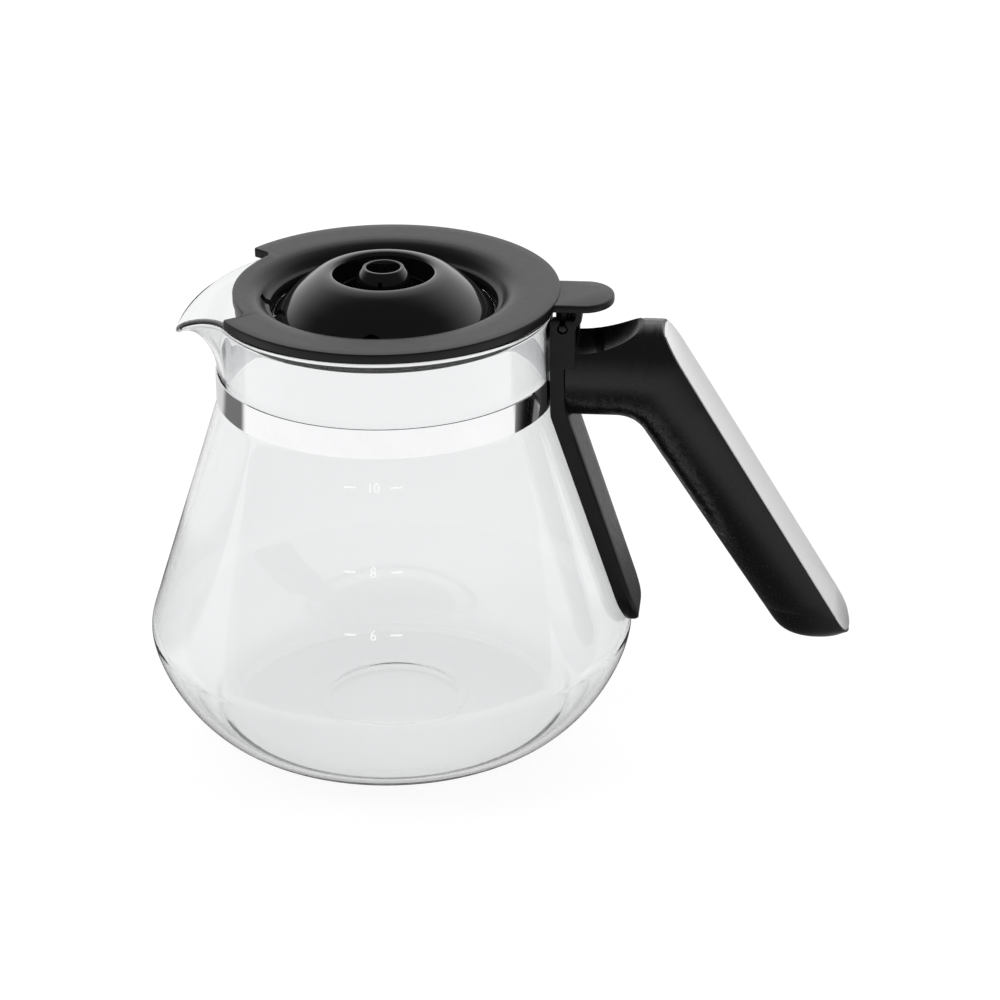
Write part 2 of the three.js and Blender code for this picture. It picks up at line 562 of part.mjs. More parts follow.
place(jug, 'glass_jug', asGeometry(asSolid(drawLip(turned(jugOutline())))), GLASS);
place(jug, 'neck_band', neckBand(), MIRROR_STEEL());
place(jug, 'band_yoke', bandYoke(), ZINC());
place(jug, 'band_screw', socketScrew({
  ...CLAMP, tip: SPINE.backFace + 0.4, y: 0, z: CLAMP.height, radius: CLAMP.screwRadius, socket: 1.7,
}), ZINC());
place(jug, 'handle_spine', handleSpine(), SATIN_BLACK());
place(jug, 'strap_pad', strapPad(), SILICONE());
place(jug, 'handle_shell', handleShell(), SATIN_BLACK());
place(jug, 'shell_screw', socketScrew({ ...SHELL_SCREW, y: 0 }), ZINC());
place(jug, 'handle_cover', handleCover(), SATIN_BLACK());
place(jug, 'cover_screw_upper', coverScrew(COVER_SCREWS.upper), ZINC());
place(jug, 'cover_screw_lower', coverScrew(COVER_SCREWS.lower), ZINC());
const tapeBottom = INLAY.recess - 0.1;
place(jug, 'inlay_tape', inlayLayer(tapeBottom - INLAY.tape, tapeBottom), TAPE());
place(jug, 'grip_inlay', inlayLayer(0.05, 0.05 + INLAY.thickness), BRUSHED_STEEL());

const lid = new THREE.Group();
place(lid, 'lid_ring', lidRing(), SATIN_BLACK());
place(lid, 'lid_dome', lidDome(), GLOSS_BLACK());
place(lid, 'lid_flow_plate', lidFlowPlate(), SATIN_BLACK());
place(lid, 'drip_stop_pusher', dripStopPusher(), GLOSS_BLACK());
place(lid, 'hinge_pin', rodAlongY(PIN.radius, PIN.x, PIN.z, -10.9, 10.9), SATIN_BLACK());
jug.add(lid);

export default jug;
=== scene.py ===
"""Glass filter coffee jug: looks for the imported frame. Lengths below are millimetres in the row frame."""
import math

import bmesh
import bpy
import numpy as np
from mathutils import Matrix, Vector


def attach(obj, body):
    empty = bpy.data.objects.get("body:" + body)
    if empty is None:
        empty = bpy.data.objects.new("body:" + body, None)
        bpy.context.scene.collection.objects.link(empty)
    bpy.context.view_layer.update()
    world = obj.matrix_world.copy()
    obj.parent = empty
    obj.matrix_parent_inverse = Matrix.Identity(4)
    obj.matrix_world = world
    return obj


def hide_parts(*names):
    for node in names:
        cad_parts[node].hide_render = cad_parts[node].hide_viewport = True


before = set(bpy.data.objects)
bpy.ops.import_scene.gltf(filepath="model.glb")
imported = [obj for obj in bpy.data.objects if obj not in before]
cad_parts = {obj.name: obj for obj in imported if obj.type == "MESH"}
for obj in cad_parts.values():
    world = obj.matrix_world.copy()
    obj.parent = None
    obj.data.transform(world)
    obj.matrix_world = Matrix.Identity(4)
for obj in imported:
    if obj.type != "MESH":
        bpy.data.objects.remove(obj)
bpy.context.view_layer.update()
MM = 0.001
rad = math.radians


# ------------------------------------------------------------------ mesh helpers
def make_piece(name, verts, faces, body, material, replaces=(), slot=None, sharp=32):
    """Closed mesh from millimetre points, riding on a CAD body."""
    mesh = bpy.data.meshes.new(name)
    mesh.from_pydata([tuple(float(c) * MM for c in v) for v in verts], [], [tuple(f) for f in faces])
    mesh.validate()
    obj = bpy.data.objects.new(name, mesh)
    bpy.context.scene.collection.objects.link(obj)
    tidy_mesh(obj, sharp)
    obj.data.materials.append(material)
    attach(obj, body)
    if replaces:
        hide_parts(*replaces)
    return obj


def tidy_mesh(obj, sharp=32):
    """Merges doubled points, points the faces outward and smooths all but sharp edges."""
    bm = bmesh.new()
    bm.from_mesh(obj.data)
    bmesh.ops.remove_doubles(bm, verts=bm.verts, dist=1e-6)
    bmesh.ops.dissolve_degenerate(bm, edges=bm.edges, dist=1e-6)
    bmesh.ops.recalc_face_normals(bm, faces=bm.faces)
    bm.to_mesh(obj.data)
    bm.free()
    for polygon in obj.data.polygons:
        polygon.use_smooth = True
    obj.data.set_sharp_from_angle(angle=rad(sharp))


def raw_object(name, verts, faces):
    """A loose object used only to cut or join another one."""
    mesh = bpy.data.meshes.new(name)
    mesh.from_pydata([tuple(float(c) * MM for c in v) for v in verts], [], [tuple(f) for f in faces])
    obj = bpy.data.objects.new(name, mesh)
    bpy.context.scene.collection.objects.link(obj)
    tidy_mesh(obj)
    return obj


def combine(obj, tools, operation="DIFFERENCE", sharp=32):
    """Exact boolean of obj with each tool, applied. The tools are removed."""
    for tool in tools:
        step = obj.modifiers.new("cut", "BOOLEAN")
        step.operation = operation
        step.solver = "EXACT"
        step.object = tool
    depsgraph = bpy.context.evaluated_depsgraph_get()
    result = bpy.data.meshes.new_from_object(obj.evaluated_get(depsgraph))
    result.name = obj.name
    obj.modifiers.clear()
    obj.data = result
    for tool in tools:
        bpy.data.objects.remove(tool)
    tidy_mesh(obj, sharp)
    return obj


def revolved(profile, segments, start=0.0, sweep=2 * math.pi):
    """Verts and faces of a closed [radius, height] outline turned round Z."""
    profile = np.array(profile, float)
    whole = abs(sweep - 2 * math.pi) < 1e-9
    columns = segments if whole else segments + 1
    angles = start + sweep * np.arange(columns) / segments
    verts = [(r * math.cos(a), r * math.sin(a), z) for a in angles for r, z in profile]
    n = len(profile)
    faces = []
    on_axis = profile[0][0] < 1e-9 and profile[-1][0] < 1e-9
    rows = n - 1 if on_axis else n
    for c in range(segments):
        a, b = c * n, ((c + 1) % columns) * n
        for i in range(rows):
            j = (i + 1) % n
            faces.append((a + i, b + i, b + j, a + j))
    if not whole:
        faces.append(tuple(range(n - 1, -1, -1)))
        faces.append(tuple((columns - 1) * n + i for i in range(n)))
    clean = []
    for face in faces:
        kept = [v for k, v in enumerate(face) if not np.allclose(verts[v], verts[face[k - 1]])]
        if len(kept) > 2:
            clean.append(kept)
    return verts, clean


def lofted(rings, cap_start=True, cap_end=True):
    """Verts and faces of a skin through equal rings of points, closed at both ends."""
    count = len(rings[0])
    verts = [tuple(p) for ring in rings for p in ring]
    faces = []
    for i in range(len(rings) - 1):
        for j in range(count):
            k = (j + 1) % count
            faces.append((i * count + j, (i + 1) * count + j, (i + 1) * count + k, i * count + k))
    if cap_start:
        faces.append(tuple(range(count)))
    if cap_end:
        faces.append(tuple(reversed(range((len(rings) - 1) * count, len(rings) * count))))
    return verts, faces


def extruded(outline, low, high, axis):
    """Verts and faces of a 2-D outline pushed along an axis: 'y' takes (x, z), 'z' takes (x, y)."""
    def place(point, depth):
        return (point[0], depth, point[1]) if axis == "y" else (point[0], point[1], depth)
    return lofted([[place(p, low) for p in outline], [place(p, high) for p in outline]])


def arc(centre, radius, start, end, steps):
    """Points on a circle, angles in degrees."""
    return [(centre[0] + radius * math.cos(rad(a)), centre[1] + radius * math.sin(rad(a)))
            for a in np.linspace(start, end, steps)]


def circle(x, z, radius, steps=64):
    return arc((x, z), radius, 0, 360 * (1 - 1 / steps), steps)


def spline(points, count):
    """Uniform Catmull-Rom curve through points, as count samples."""
    points = np.array(points, float)
    out = []
    for u in np.linspace(0, len(points) - 1, count):
        out.append(spline_at(points, u))
    return np.array(out)


def spline_at(points, u):
    last = len(points) - 1
    i = min(int(u), last - 1)
    t = u - i
    p0, p1 = points[max(i - 1, 0)], points[i]
    p2, p3 = points[i + 1], points[min(i + 2, last)]
    return 0.5 * (2 * p1 + (p2 - p0) * t + (2 * p0 - 5 * p1 + 4 * p2 - p3) * t * t
                  + (3 * p1 - p0 - 3 * p2 + p3) * t ** 3)


# ------------------------------------------------------------------ materials
def new_material(name):
    material = bpy.data.materials.new(name)
    material.use_nodes = True
    tree = material.node_tree
    return material, tree, tree.nodes["Principled BSDF"]


def noise(tree, scale, detail=4, roughness=0.6, stretch=None):
    """Noise in the piece's own coordinates, in metres, stretched per axis if asked."""
    coordinates = tree.nodes.new("ShaderNodeTexCoord")
    texture = tree.nodes.new("ShaderNodeTexNoise")
    texture.inputs["Scale"].default_value = scale
    texture.inputs["Detail"].default_value = detail
    texture.inputs["Roughness"].default_value = roughness
    source = coordinates.outputs["Object"]
    if stretch:
        mapping = tree.nodes.new("ShaderNodeMapping")
        mapping.inputs["Scale"].default_value = stretch
        tree.links.new(source, mapping.inputs["Vector"])
        source = mapping.outputs["Vector"]
    tree.links.new(source, texture.inputs["Vector"])
    return texture.outputs["Fac"]


def remap(tree, value, low, high, from_low=0.3, from_high=0.7):
    node = tree.nodes.new("ShaderNodeMapRange")
    node.inputs["From Min"].default_value = from_low
    node.inputs["From Max"].default_value = from_high
    node.inputs["To Min"].default_value = low
    node.inputs["To Max"].default_value = high
    tree.links.new(value, node.inputs["Value"])
    return node.outputs["Result"]


def tint(tree, value, dark, light):
    node = tree.nodes.new("ShaderNodeMix")
    node.data_type = "RGBA"
    node.inputs["A"].default_value = (*dark, 1)
    node.inputs["B"].default_value = (*light, 1)
    tree.links.new(remap(tree, value, 0, 1), node.inputs["Factor"])
    return node.outputs["Result"]


def bump(tree, value, strength, distance):
    node = tree.nodes.new("ShaderNodeBump")
    node.inputs["Strength"].default_value = strength
    node.inputs["Distance"].default_value = distance
    tree.links.new(value, node.inputs["Height"])
    return node.outputs["Normal"]


def plastic(name, dark, light, roughness, grain, specular=0.5, coarse=60):
    """Moulded plastic: slow tone drift, fine spark-eroded grain, uneven gloss."""
    material, tree, shader = new_material(name)
    drift = noise(tree, coarse, 3)
    fine = noise(tree, 5200, 2, 0.7)
    tree.links.new(tint(tree, drift, dark, light), shader.inputs["Base Color"])
    tree.links.new(remap(tree, noise(tree, 420, 5), roughness[0], roughness[1]), shader.inputs["Roughness"])
    tree.links.new(bump(tree, fine, grain, 0.00002), shader.inputs["Normal"])
    shader.inputs["Specular IOR Level"].default_value = specular
    shader.inputs["IOR"].default_value = 1.5
    return material


def metal(name, dark, light, roughness, stretch=None, grain=0.05, scale=300):
    material, tree, shader = new_material(name)
    lines = noise(tree, scale, 6, 0.65, stretch)
    tree.links.new(tint(tree, lines, dark, light), shader.inputs["Base Color"])
    tree.links.new(remap(tree, lines, roughness[0], roughness[1]), shader.inputs["Roughness"])
    if grain:
        tree.links.new(bump(tree, lines, grain, 0.00001), shader.inputs["Normal"])
    shader.inputs["Metallic"].default_value = 1.0
    return material


DARK_BLACK, LIGHT_BLACK = (0.0035, 0.0035, 0.0036), (0.0050, 0.0050, 0.0051)
SATIN_BLACK = plastic("satin_black", DARK_BLACK, LIGHT_BLACK, (0.26, 0.29), 0.03, 0.30)
LID_BLACK = plastic("lid_black", (0.0048, 0.0048, 0.0049), (0.0058, 0.0058, 0.0059), (0.34, 0.38), 0.12, 0.22)
GLOSS_BLACK = plastic("gloss_black", (0.003, 0.003, 0.0031), (0.0045, 0.0045, 0.0046), (0.035, 0.07),
                      0.015, 0.32)
SPINE_BLACK = plastic("spine_black", DARK_BLACK, LIGHT_BLACK, (0.34, 0.42), 0.14, 0.22)
BAND_STEEL = metal("band_steel", (0.80, 0.80, 0.81), (0.84, 0.84, 0.85), (0.02, 0.05), None, 0.004, 90)
INLAY_STEEL = metal("inlay_steel", (0.66, 0.66, 0.66), (0.73, 0.73, 0.73), (0.34, 0.5),
                    (30, 1.0, 30), 0.25, 160)
ZINC = metal("zinc_plate", (0.45, 0.46, 0.48), (0.62, 0.62, 0.63), (0.25, 0.42), None, 0.1, 500)
SILICONE = plastic("pad_silicone", (0.02, 0.02, 0.021), (0.032, 0.032, 0.033), (0.65, 0.8), 0.3, 0.4)
TAPE = plastic("white_tape", (0.62, 0.61, 0.57), (0.75, 0.74, 0.70), (0.7, 0.85), 0.4, 0.3)


def glass():
    material, tree, shader = new_material("clear_glass")
    shader.inputs["Transmission Weight"].default_value = 1.0
    shader.inputs["IOR"].default_value = 1.47
    tree.links.new(tint(tree, noise(tree, 9, 1), (0.895, 0.902, 0.905), (0.925, 0.93, 0.932)),
                   shader.inputs["Base Color"])
    tree.links.new(remap(tree, noise(tree, 60, 2), 0.0, 0.012), shader.inputs["Roughness"])
    # faint blown waviness
    tree.links.new(bump(tree, noise(tree, 38, 1, 0.4), 0.06, 0.0006), shader.inputs["Normal"])
    return material


def print_white_painted_glow():
    material, tree, shader = new_material("cup_mark_print_painted_glow")
    speckle = noise(tree, 2600, 3)
    tree.links.new(tint(tree, speckle, (0.86, 0.86, 0.86), (0.95, 0.95, 0.95)), shader.inputs["Base Color"])
    tree.links.new(remap(tree, speckle, 0.35, 0.55), shader.inputs["Roughness"])
    tree.links.new(bump(tree, speckle, 0.2, 0.00002), shader.inputs["Normal"])
    # the white colour is the print's own; the emission below is a painted glow that makes the marks brighter
    # than the lamps light them
    shader.inputs["Emission Color"].default_value = (1, 1, 1, 1)
    shader.inputs["Emission Strength"].default_value = 0.35
    return material


GLASS = glass()
PRINT_PAINTED_GLOW = print_white_painted_glow()

# ------------------------------------------------------------------ camera
AZIMUTH, ELEVATION, ROLL = rad(5.7), rad(25.13), rad(-0.643)
CAMERA_AT = Vector((132.05, -982.84, 534.52)) * MM
back = Vector((math.sin(AZIMUTH) * math.cos(ELEVATION), -math.cos(AZIMUTH) * math.cos(ELEVATION),
               math.sin(ELEVATION)))
level_right = Vector((math.cos(AZIMUTH), math.sin(AZIMUTH), 0))
level_up = back.cross(level_right)
right = math.cos(ROLL) * level_right + math.sin(ROLL) * level_up
up = -math.sin(ROLL) * level_right + math.cos(ROLL) * level_up
camera_data = bpy.data.cameras.new("camera")
camera_data.sensor_width = 36
camera_data.lens = 129.26
camera_data.clip_start, camera_data.clip_end = 0.05, 50
camera = bpy.data.objects.new("camera", camera_data)
bpy.context.scene.collection.objects.link(camera)
camera.matrix_world = Matrix.Translation(CAMERA_AT) @ Matrix((right, up, back)).transposed().to_4x4()
bpy.context.scene.camera = camera

# ------------------------------------------------------------------ jug
BASE_R, BELLY_R, BELLY_Z, BELLY_POWER = 51.0, 74.0, 31.0, 1.5
BEND_R, CONE = 12.0, rad(17.8)
NECK_R, RIM_TOP = 50.2, 136.6
WALL, FLOOR = 2.1, 3.2


def belly_points(steps=40):
    points = []
    for t in np.linspace(math.pi / 2, 0, steps):
        points.append((BASE_R + (BELLY_R - BASE_R) * math.cos(t) ** (2 / BELLY_POWER),
                       BELLY_Z - BELLY_Z * math.sin(t) ** (2 / BELLY_POWER)))
    return points


def cone_radius(z):
    top = BELLY_Z + BEND_R * math.sin(CONE)
    return BELLY_R - BEND_R * (1 - math.cos(CONE)) - math.tan(CONE) * (z - top)


def jug_radius(z):
    """Outer glass radius at a height, below the rim bead."""
    if z <= BELLY_Z:
        fall = ((BELLY_Z - z) / BELLY_Z) ** BELLY_POWER
        return BASE_R + (BELLY_R - BASE_R) * (1 - fall) ** (1 / BELLY_POWER)
    if z <= BELLY_Z + BEND_R * math.sin(CONE):
        return BELLY_R - BEND_R + math.sqrt(BEND_R ** 2 - (z - BELLY_Z) ** 2)
    return max(NECK_R, cone_radius(z))


def jug_outside():
    points = belly_points()
    points += [(BELLY_R - BEND_R + BEND_R * math.cos(a), BELLY_Z + BEND_R * math.sin(a))
               for a in np.linspace(0, CONE, 7)[1:]]
    # cone, then a concave fillet into the neck
    fillet = 14.0
    bend_top, bend_in = BELLY_Z + BEND_R * math.sin(CONE), BELLY_R - BEND_R * (1 - math.cos(CONE))
    join = bend_top + (bend_in - NECK_R) / math.tan(CONE)
    tangent = fillet * math.tan(CONE / 2)
    for z in np.linspace(40, join - tangent * math.cos(CONE), 14):
        points.append((cone_radius(z), z))
    centre = (NECK_R + fillet, join + tangent)
    points += [(centre[0] - fillet * math.cos(a), centre[1] - fillet * math.sin(a))
               for a in np.linspace(CONE, 0, 6)[1:]]
    points += [(NECK_R, z) for z in np.linspace(join + tangent + 1.2, 133.2, 24)]
    return points


def jug_profile():
    outside = jug_outside()
    under = [(0, 0.55), (10, 0.52), (20, 0.42), (28, 0.28), (36, 0.14), (42, 0.05), (47, 0.0), (49, 0.0)]
    bead = [(50.24, 133.7), (50.5, 134.2), (50.85, 134.6), (51.1, 135.1), (51.2, 135.6), (51.1, 136.1),
            (50.75, 136.45), (50.2, 136.6), (49.5, 136.6), (48.9, 136.45), (48.45, 136.05), (48.2, 135.4)]
    outer = np.array(outside)
    slopes = np.gradient(outer, axis=0)
    slopes /= np.linalg.norm(slopes, axis=1)[:, None]
    inner = outer - WALL * np.column_stack([slopes[:, 1], -slopes[:, 0]])
    inner = [tuple(p) for p in inner[::-1] if p[1] > FLOOR + 1.0]
    ring = [(24.0, 0), (23.5, 0.05), (23.0, 0.18), (22.5, 0.32), (21.7, 0.38), (20.9, 0.32), (20.4, 0.18),
            (19.9, 0.05), (19.4, 0)]
    floor = [(50.3, FLOOR + 0.72), (48.8, FLOOR + 0.28), (47, FLOOR + 0.05), (45, FLOOR), (34, FLOOR)]
    floor += [(r, FLOOR + rise) for r, rise in ring] + [(10, FLOOR), (0, FLOOR)]
    return under + outside + bead + inner + floor


LIP_HALF, LIP_LOW, LIP_THINNING = rad(33.1), 115.0, 0.4
LIP_SECTION = np.array([(50.2, LIP_LOW), (51.2, 118.3), (53.6, 121.3), (57.4, 123.9), (63.1, 124.1)])


def draw_lip(verts):
    """Pushes the lip's sector of the neck outward and down."""
    out = []
    for x, y, z in verts:
        radius, turn = math.hypot(x, y), math.atan2(y, -x) / LIP_HALF
        if abs(turn) >= 1 or z <= LIP_LOW or radius < 30:
            out.append((x, y, z))
            continue
        outward = (1 - abs(turn) ** 1.71) ** 2.33
        downward = (1 - abs(turn) ** 1.27) ** 2.92
        along = min(1.0, (z - LIP_LOW) / (RIM_TOP - LIP_LOW))
        u = along * 4
        target = spline_at(LIP_SECTION, u)
        ahead = spline_at(LIP_SECTION, min(u + 0.02, 4)) - spline_at(LIP_SECTION, max(u - 0.02, 0))
        lean = outward * math.atan2(ahead[0], ahead[1])
        depth = (NECK_R - radius) * (1 - LIP_THINNING * outward * along)
        new_radius = NECK_R + outward * (target[0] - NECK_R) - depth * math.cos(lean)
        height = z + downward * (target[1] - z) + depth * math.sin(lean)
        angle = math.atan2(y, x)
        out.append((new_radius * math.cos(angle), new_radius * math.sin(angle), height))
    return out


jug_verts, jug_faces = revolved(jug_profile(), 256)
make_piece("jug_glass", draw_lip(jug_verts), jug_faces, "jug", GLASS, ["glass_jug"], "jug_glass", sharp=60)


# ------------------------------------------------------------------ cup marks
MARK_TURN = rad(2.8)
MARKS = {"10": 98.7, "8": 75.2, "6": 57.7}
MARK_LIFT, MARK_THICK = 0.06, 0.08


def on_cone(across, height, lift):
    """Point of the outer glass: across is arc length from the marks' middle, toward the handle."""
    radius = cone_radius(height) + lift
    angle = -math.pi / 2 + MARK_TURN + across / cone_radius(height)
    return (radius * math.cos(angle), radius * math.sin(angle), height)


def cup_marks():
    slant = math.cos(CONE)
    for text, level in MARKS.items():
        curve = bpy.data.curves.new("digits", "FONT")
        curve.body = text
        curve.size = 4.45 * MM
        curve.align_x, curve.align_y = "CENTER", "CENTER"
        curve.resolution_u = 6
        curve.extrude = MARK_THICK / 2 * MM
        holder = bpy.data.objects.new("digits", curve)
        bpy.context.scene.collection.objects.link(holder)
        depsgraph = bpy.context.evaluated_depsgraph_get()
        flat = bpy.data.meshes.new_from_object(holder.evaluated_get(depsgraph))
        bm = bmesh.new()
        bm.from_mesh(flat)
        bmesh.ops.remove_doubles(bm, verts=bm.verts, dist=1e-7)
        points = [tuple(c / MM for c in v.co) for v in bm.verts]
        middle = (min(p[1] for p in points) + max(p[1] for p in points)) / 2
        bm.verts.ensure_lookup_table()
        verts = [on_cone(x * 0.86, level + (y - middle) * slant, MARK_LIFT + z + MARK_THICK / 2)
                 for x, y, z in points]
        faces = [[v.index for v in f.verts] for f in bm.faces]
        bm.free()
        bpy.data.objects.remove(holder)
        make_piece(f"mark_{text}", verts, faces, "jug", PRINT_PAINTED_GLOW)
        for side in (-1, 1):
            inner, outer = 5.0 * side, 8.5 * side
            low, high = min(inner, outer), max(inner, outer)
            rings = []
            for a in np.linspace(low, high, 9):
                rings.append([on_cone(a, level + dz * slant, MARK_LIFT + dr)
                              for dz, dr in ((-0.27, 0), (0.27, 0), (0.27, MARK_THICK), (-0.27, MARK_THICK))])
            verts, faces = lofted(rings)
            make_piece(f"mark_{text}_dash_{'front' if side < 0 else 'rear'}", verts, faces, "jug", PRINT_PAINTED_GLOW)


cup_marks()


# ------------------------------------------------------------------ neck band
def neck_band():
    radius, ear_y, reach, hook = 50.72, 4.3, 62.7, 5.6
    ring_half, ear_half = 4.6, 1.8
    ring_mid, ear_mid = 111.4, 110.4
    around, blend_steps = 288, 6
    start = math.asin(ear_y / radius) + rad(1.2)
    path = [(reach, hook), (reach, ear_y + 0.35)]
    path += [(x, ear_y) for x in np.linspace(reach - 0.3, 51.6, 12)]
    widths = [0.0] * len(path)
    ring = [(radius * math.cos(a), radius * math.sin(a))
            for a in np.linspace(start, 2 * math.pi - start, around)]
    mirror = [(x, -y) for x, y in path[::-1]]
    path += ring
    widths += [min(1.0, (i + 1) / blend_steps, (around - i) / blend_steps) for i in range(around)]
    path += mirror
    widths += [0.0] * len(mirror)
    path = np.array(path)
    tangents = np.gradient(path, axis=0)
    tangents /= np.linalg.norm(tangents, axis=1)[:, None]
    normals = np.column_stack([tangents[:, 1], -tangents[:, 0]])
    rings = []
    half = 0.24
    for p, n, w in zip(path, normals, widths):
        tall = ear_half + (ring_half - ear_half) * w
        middle = ear_mid + (ring_mid - ear_mid) * w
        section = [(-half, -tall + 0.05), (-half + 0.04, -tall), (half - 0.04, -tall), (half, -tall + 0.05),
                   (half, -tall * 0.5), (half, 0), (half, tall * 0.5), (half, tall - 0.05),
                   (half - 0.04, tall), (-half + 0.04, tall), (-half, tall - 0.05), (-half, 0)]
        rings.append([(p[0] + n[0] * d, p[1] + n[1] * d, middle + h) for d, h in section])
    verts, faces = lofted(rings)
    make_piece("neck_band_strip", verts, faces, "jug", BAND_STEEL, ["neck_band"], "band_steel", sharp=18)


neck_band()


# ------------------------------------------------------------------ spine: bracket and strap
PIN_X, PIN_Z = 54.0, 132.3
BACK_FACE, PLATE_LOW = 57.7, 119.7
TAB_HALF, TAB_STRAIGHT, TAB_REACH, TAB_LOW, TAB_TOP = 10.35, 60.0, 68.6, 137.2, 139.42


def spine_section(z, shrink=0.0):
    """Horizontal section of the spine at a height, as a ring from the near side round to the far side."""
    strap_end, half = 33.6, 11.0
    across = half if z > strap_end + half else math.sqrt(max(half ** 2 - (strap_end + half - z) ** 2, 0.02))
    across = max(across - shrink, 0.15)
    clearance = 0.4
    glass = jug_radius(max(z, 31.5))
    inner = max(glass + clearance / math.cos(CONE), 51.45 if z > 98 else 0) + shrink
    crown = 3.75 / math.cos(CONE)
    outer = glass + clearance / math.cos(CONE) + crown
    if z > PLATE_LOW:
        outer = BACK_FACE
    outer -= shrink
    chamfer = 1.05 if z < 97 else max(0.35, 1.05 - (z - 97) * 0.2)
    chamfer = min(chamfer, across * 0.45)
    fall = min(1.0, max(0.0, (strap_end + 6 - z) / 6))
    lower = (crown - 0.5) * (1 - math.sqrt(1 - fall ** 2))
    outer -= lower
    points = []
    for y in np.linspace(-across, across, 13):
        points.append((math.sqrt(inner ** 2 - y ** 2), y, z))
    side = [(outer - chamfer, across), (outer - chamfer * 0.75, across - chamfer * 0.06),
            (outer - chamfer * 0.2, across - chamfer * 0.62), (outer, across - chamfer)]
    points += [(x, y, z) for x, y in side]
    for y in np.linspace(across - chamfer, -across + chamfer, 7)[1:-1]:
        points.append((outer, y, z))
    points += [(x, -y, z) for x, y in side[::-1]]
    return points


def spine():
    heights = [33.62, 33.75, 34.0, 34.4, 34.9, 35.6, 36.5, 37.7, 39.2, 41, 43, 44.6]
    heights += list(np.linspace(46, 92, 20)) + list(np.linspace(93, 104, 14)) + list(np.linspace(106, 119, 8))
    heights += [PLATE_LOW - 0.05, PLATE_LOW + 0.05] + list(np.linspace(120.5, 134.4, 8))
    rings = [spine_section(z) for z in heights]
    rings += [[(x, y, 134.75) for x, y, _ in spine_section(134.7, 0.08)],
              [(x, y, 134.9) for x, y, _ in spine_section(134.9, 0.3)]]
    verts, faces = lofted(rings)
    piece = make_piece("handle_spine_body", verts, faces, "jug", SPINE_BLACK, ["handle_spine"],
                       "spine_plastic")
    channel_half, hole_radius, slot_half, through = 7.7, 1.6, 0.9, 20
    channel = raw_object("channel", *extruded(circle(PIN_X, PIN_Z, 8.35, 96),
                                              -channel_half, channel_half, "y"))
    slab = raw_object("channel_top", *extruded([(44, PIN_Z), (62, PIN_Z), (62, 140), (44, 140)],
                                               -channel_half, channel_half, "y"))
    keyhole = raw_object("keyhole", *extruded(circle(PIN_X, PIN_Z, hole_radius, 48), -through, through, "y"))
    slot_right = [(PIN_X + slot_half, PIN_Z), (PIN_X + slot_half, 135.2), (PIN_X + 1.3, 140)]
    slot_left = [(PIN_X - 1.3, 140), (PIN_X - slot_half, 135.2), (PIN_X - slot_half, PIN_Z)]
    slot = raw_object("keyslot", *extruded(slot_right + slot_left, -through, through, "y"))
    ears = [raw_object(f"ear_{s}", *extruded([(44, 108.3), (60, 108.3), (60, 112.5), (44, 112.5)],
                                             4.3 * s - 0.6, 4.3 * s + 0.6, "y")) for s in (-1, 1)]
    combine(piece, [channel, slab, keyhole, slot, *ears])
    return piece


spine()


# ------------------------------------------------------------------ handle bar
ARM_LOW, ARM_HIGH, ARM_START = 101.3, 130.9, 54.75
INNER_ANGLE, INNER_POINT = rad(32.8), (86.4, 83.3)
INNER_FILLET, BAR_DEPTH = 10.0, 30.4
BACK_ANGLE, BACK_POINT = rad(30.7), np.array([119.2, 69.5])
BACK_NORMAL = np.array([math.cos(BACK_ANGLE), math.sin(BACK_ANGLE)])
BACK_ALONG = np.array([math.sin(BACK_ANGLE), -math.cos(BACK_ANGLE)])
SCOOP_X, SCOOP_Z, SCOOP_R, SCOOP_DISH = 57.0, 158.1, 34.0, 0.55
across = np.array([math.cos(INNER_ANGLE), math.sin(INNER_ANGLE)])
along = np.array([math.sin(INNER_ANGLE), -math.cos(INNER_ANGLE)])
pivot_z = ARM_LOW - INNER_FILLET
PIVOT = np.array([(across @ np.array(INNER_POINT) - INNER_FILLET - across[1] * pivot_z) / across[0], pivot_z])


def bar_stations():
    """(inner point, ray, length, half width) down the bent oval bar, from the jug to the grip's end."""
    stations = [(np.array([x, ARM_LOW]), np.array([0.0, 1.0]), ARM_HIGH - ARM_LOW, 11.0)
                for x in np.linspace(ARM_START, PIVOT[0], 16)[:-1]]
    bend = math.pi / 2 - INNER_ANGLE
    steps = 34
    for i in range(steps + 1):
        angle = bend * i / steps
        ray = np.array([math.sin(angle), math.cos(angle)])
        to_top = (ARM_HIGH - PIVOT[1]) / math.cos(angle)
        to_back = (INNER_FILLET + BAR_DEPTH) / math.cos(bend - angle)
        length = (to_top ** -40 + to_back ** -40) ** (-1 / 40)
        stations.append((PIVOT + ray * INNER_FILLET, ray, length - INNER_FILLET, 11 + 0.8 * i / steps))
    start = PIVOT + across * INNER_FILLET
    swing, end_z = 23.0, 41.3
    length = (start[1] - (end_z + swing * across[1])) / -along[1]
    for part in np.linspace(0, 1, 24)[1:]:
        stations.append((start + along * length * part, across, BAR_DEPTH, 11.8 - 0.2 * part))
    low_pivot = start + along * length - across * swing
    for part in np.linspace(0, 1, 8)[1:]:
        turn = INNER_ANGLE * part
        ray = np.array([math.cos(INNER_ANGLE - turn), math.sin(INNER_ANGLE - turn)])
        near, far = swing / math.cos(turn), (swing + BAR_DEPTH) / math.cos(turn)
        stations.append((low_pivot + ray * near, ray, far - near, 11.6))
    end = spline([(low_pivot[0] + swing / math.cos(INNER_ANGLE), 41.3, 156, 11.6), (115.4, 38.3, 152, 11.3),
                  (117.2, 35.6, 147, 10.5), (118.9, 33.6, 142, 9.2), (121.1, 32.1, 139.4, 7.4),
                  (124.4, 31.0, 137, 5.0), (128.0, 30.5, 134.5, 2.4)], 22)[1:]
    for x, z, far, half in end:
        stations.append((np.array([x, z]), np.array([1.0, 0.0]), far - x, half))
    return stations


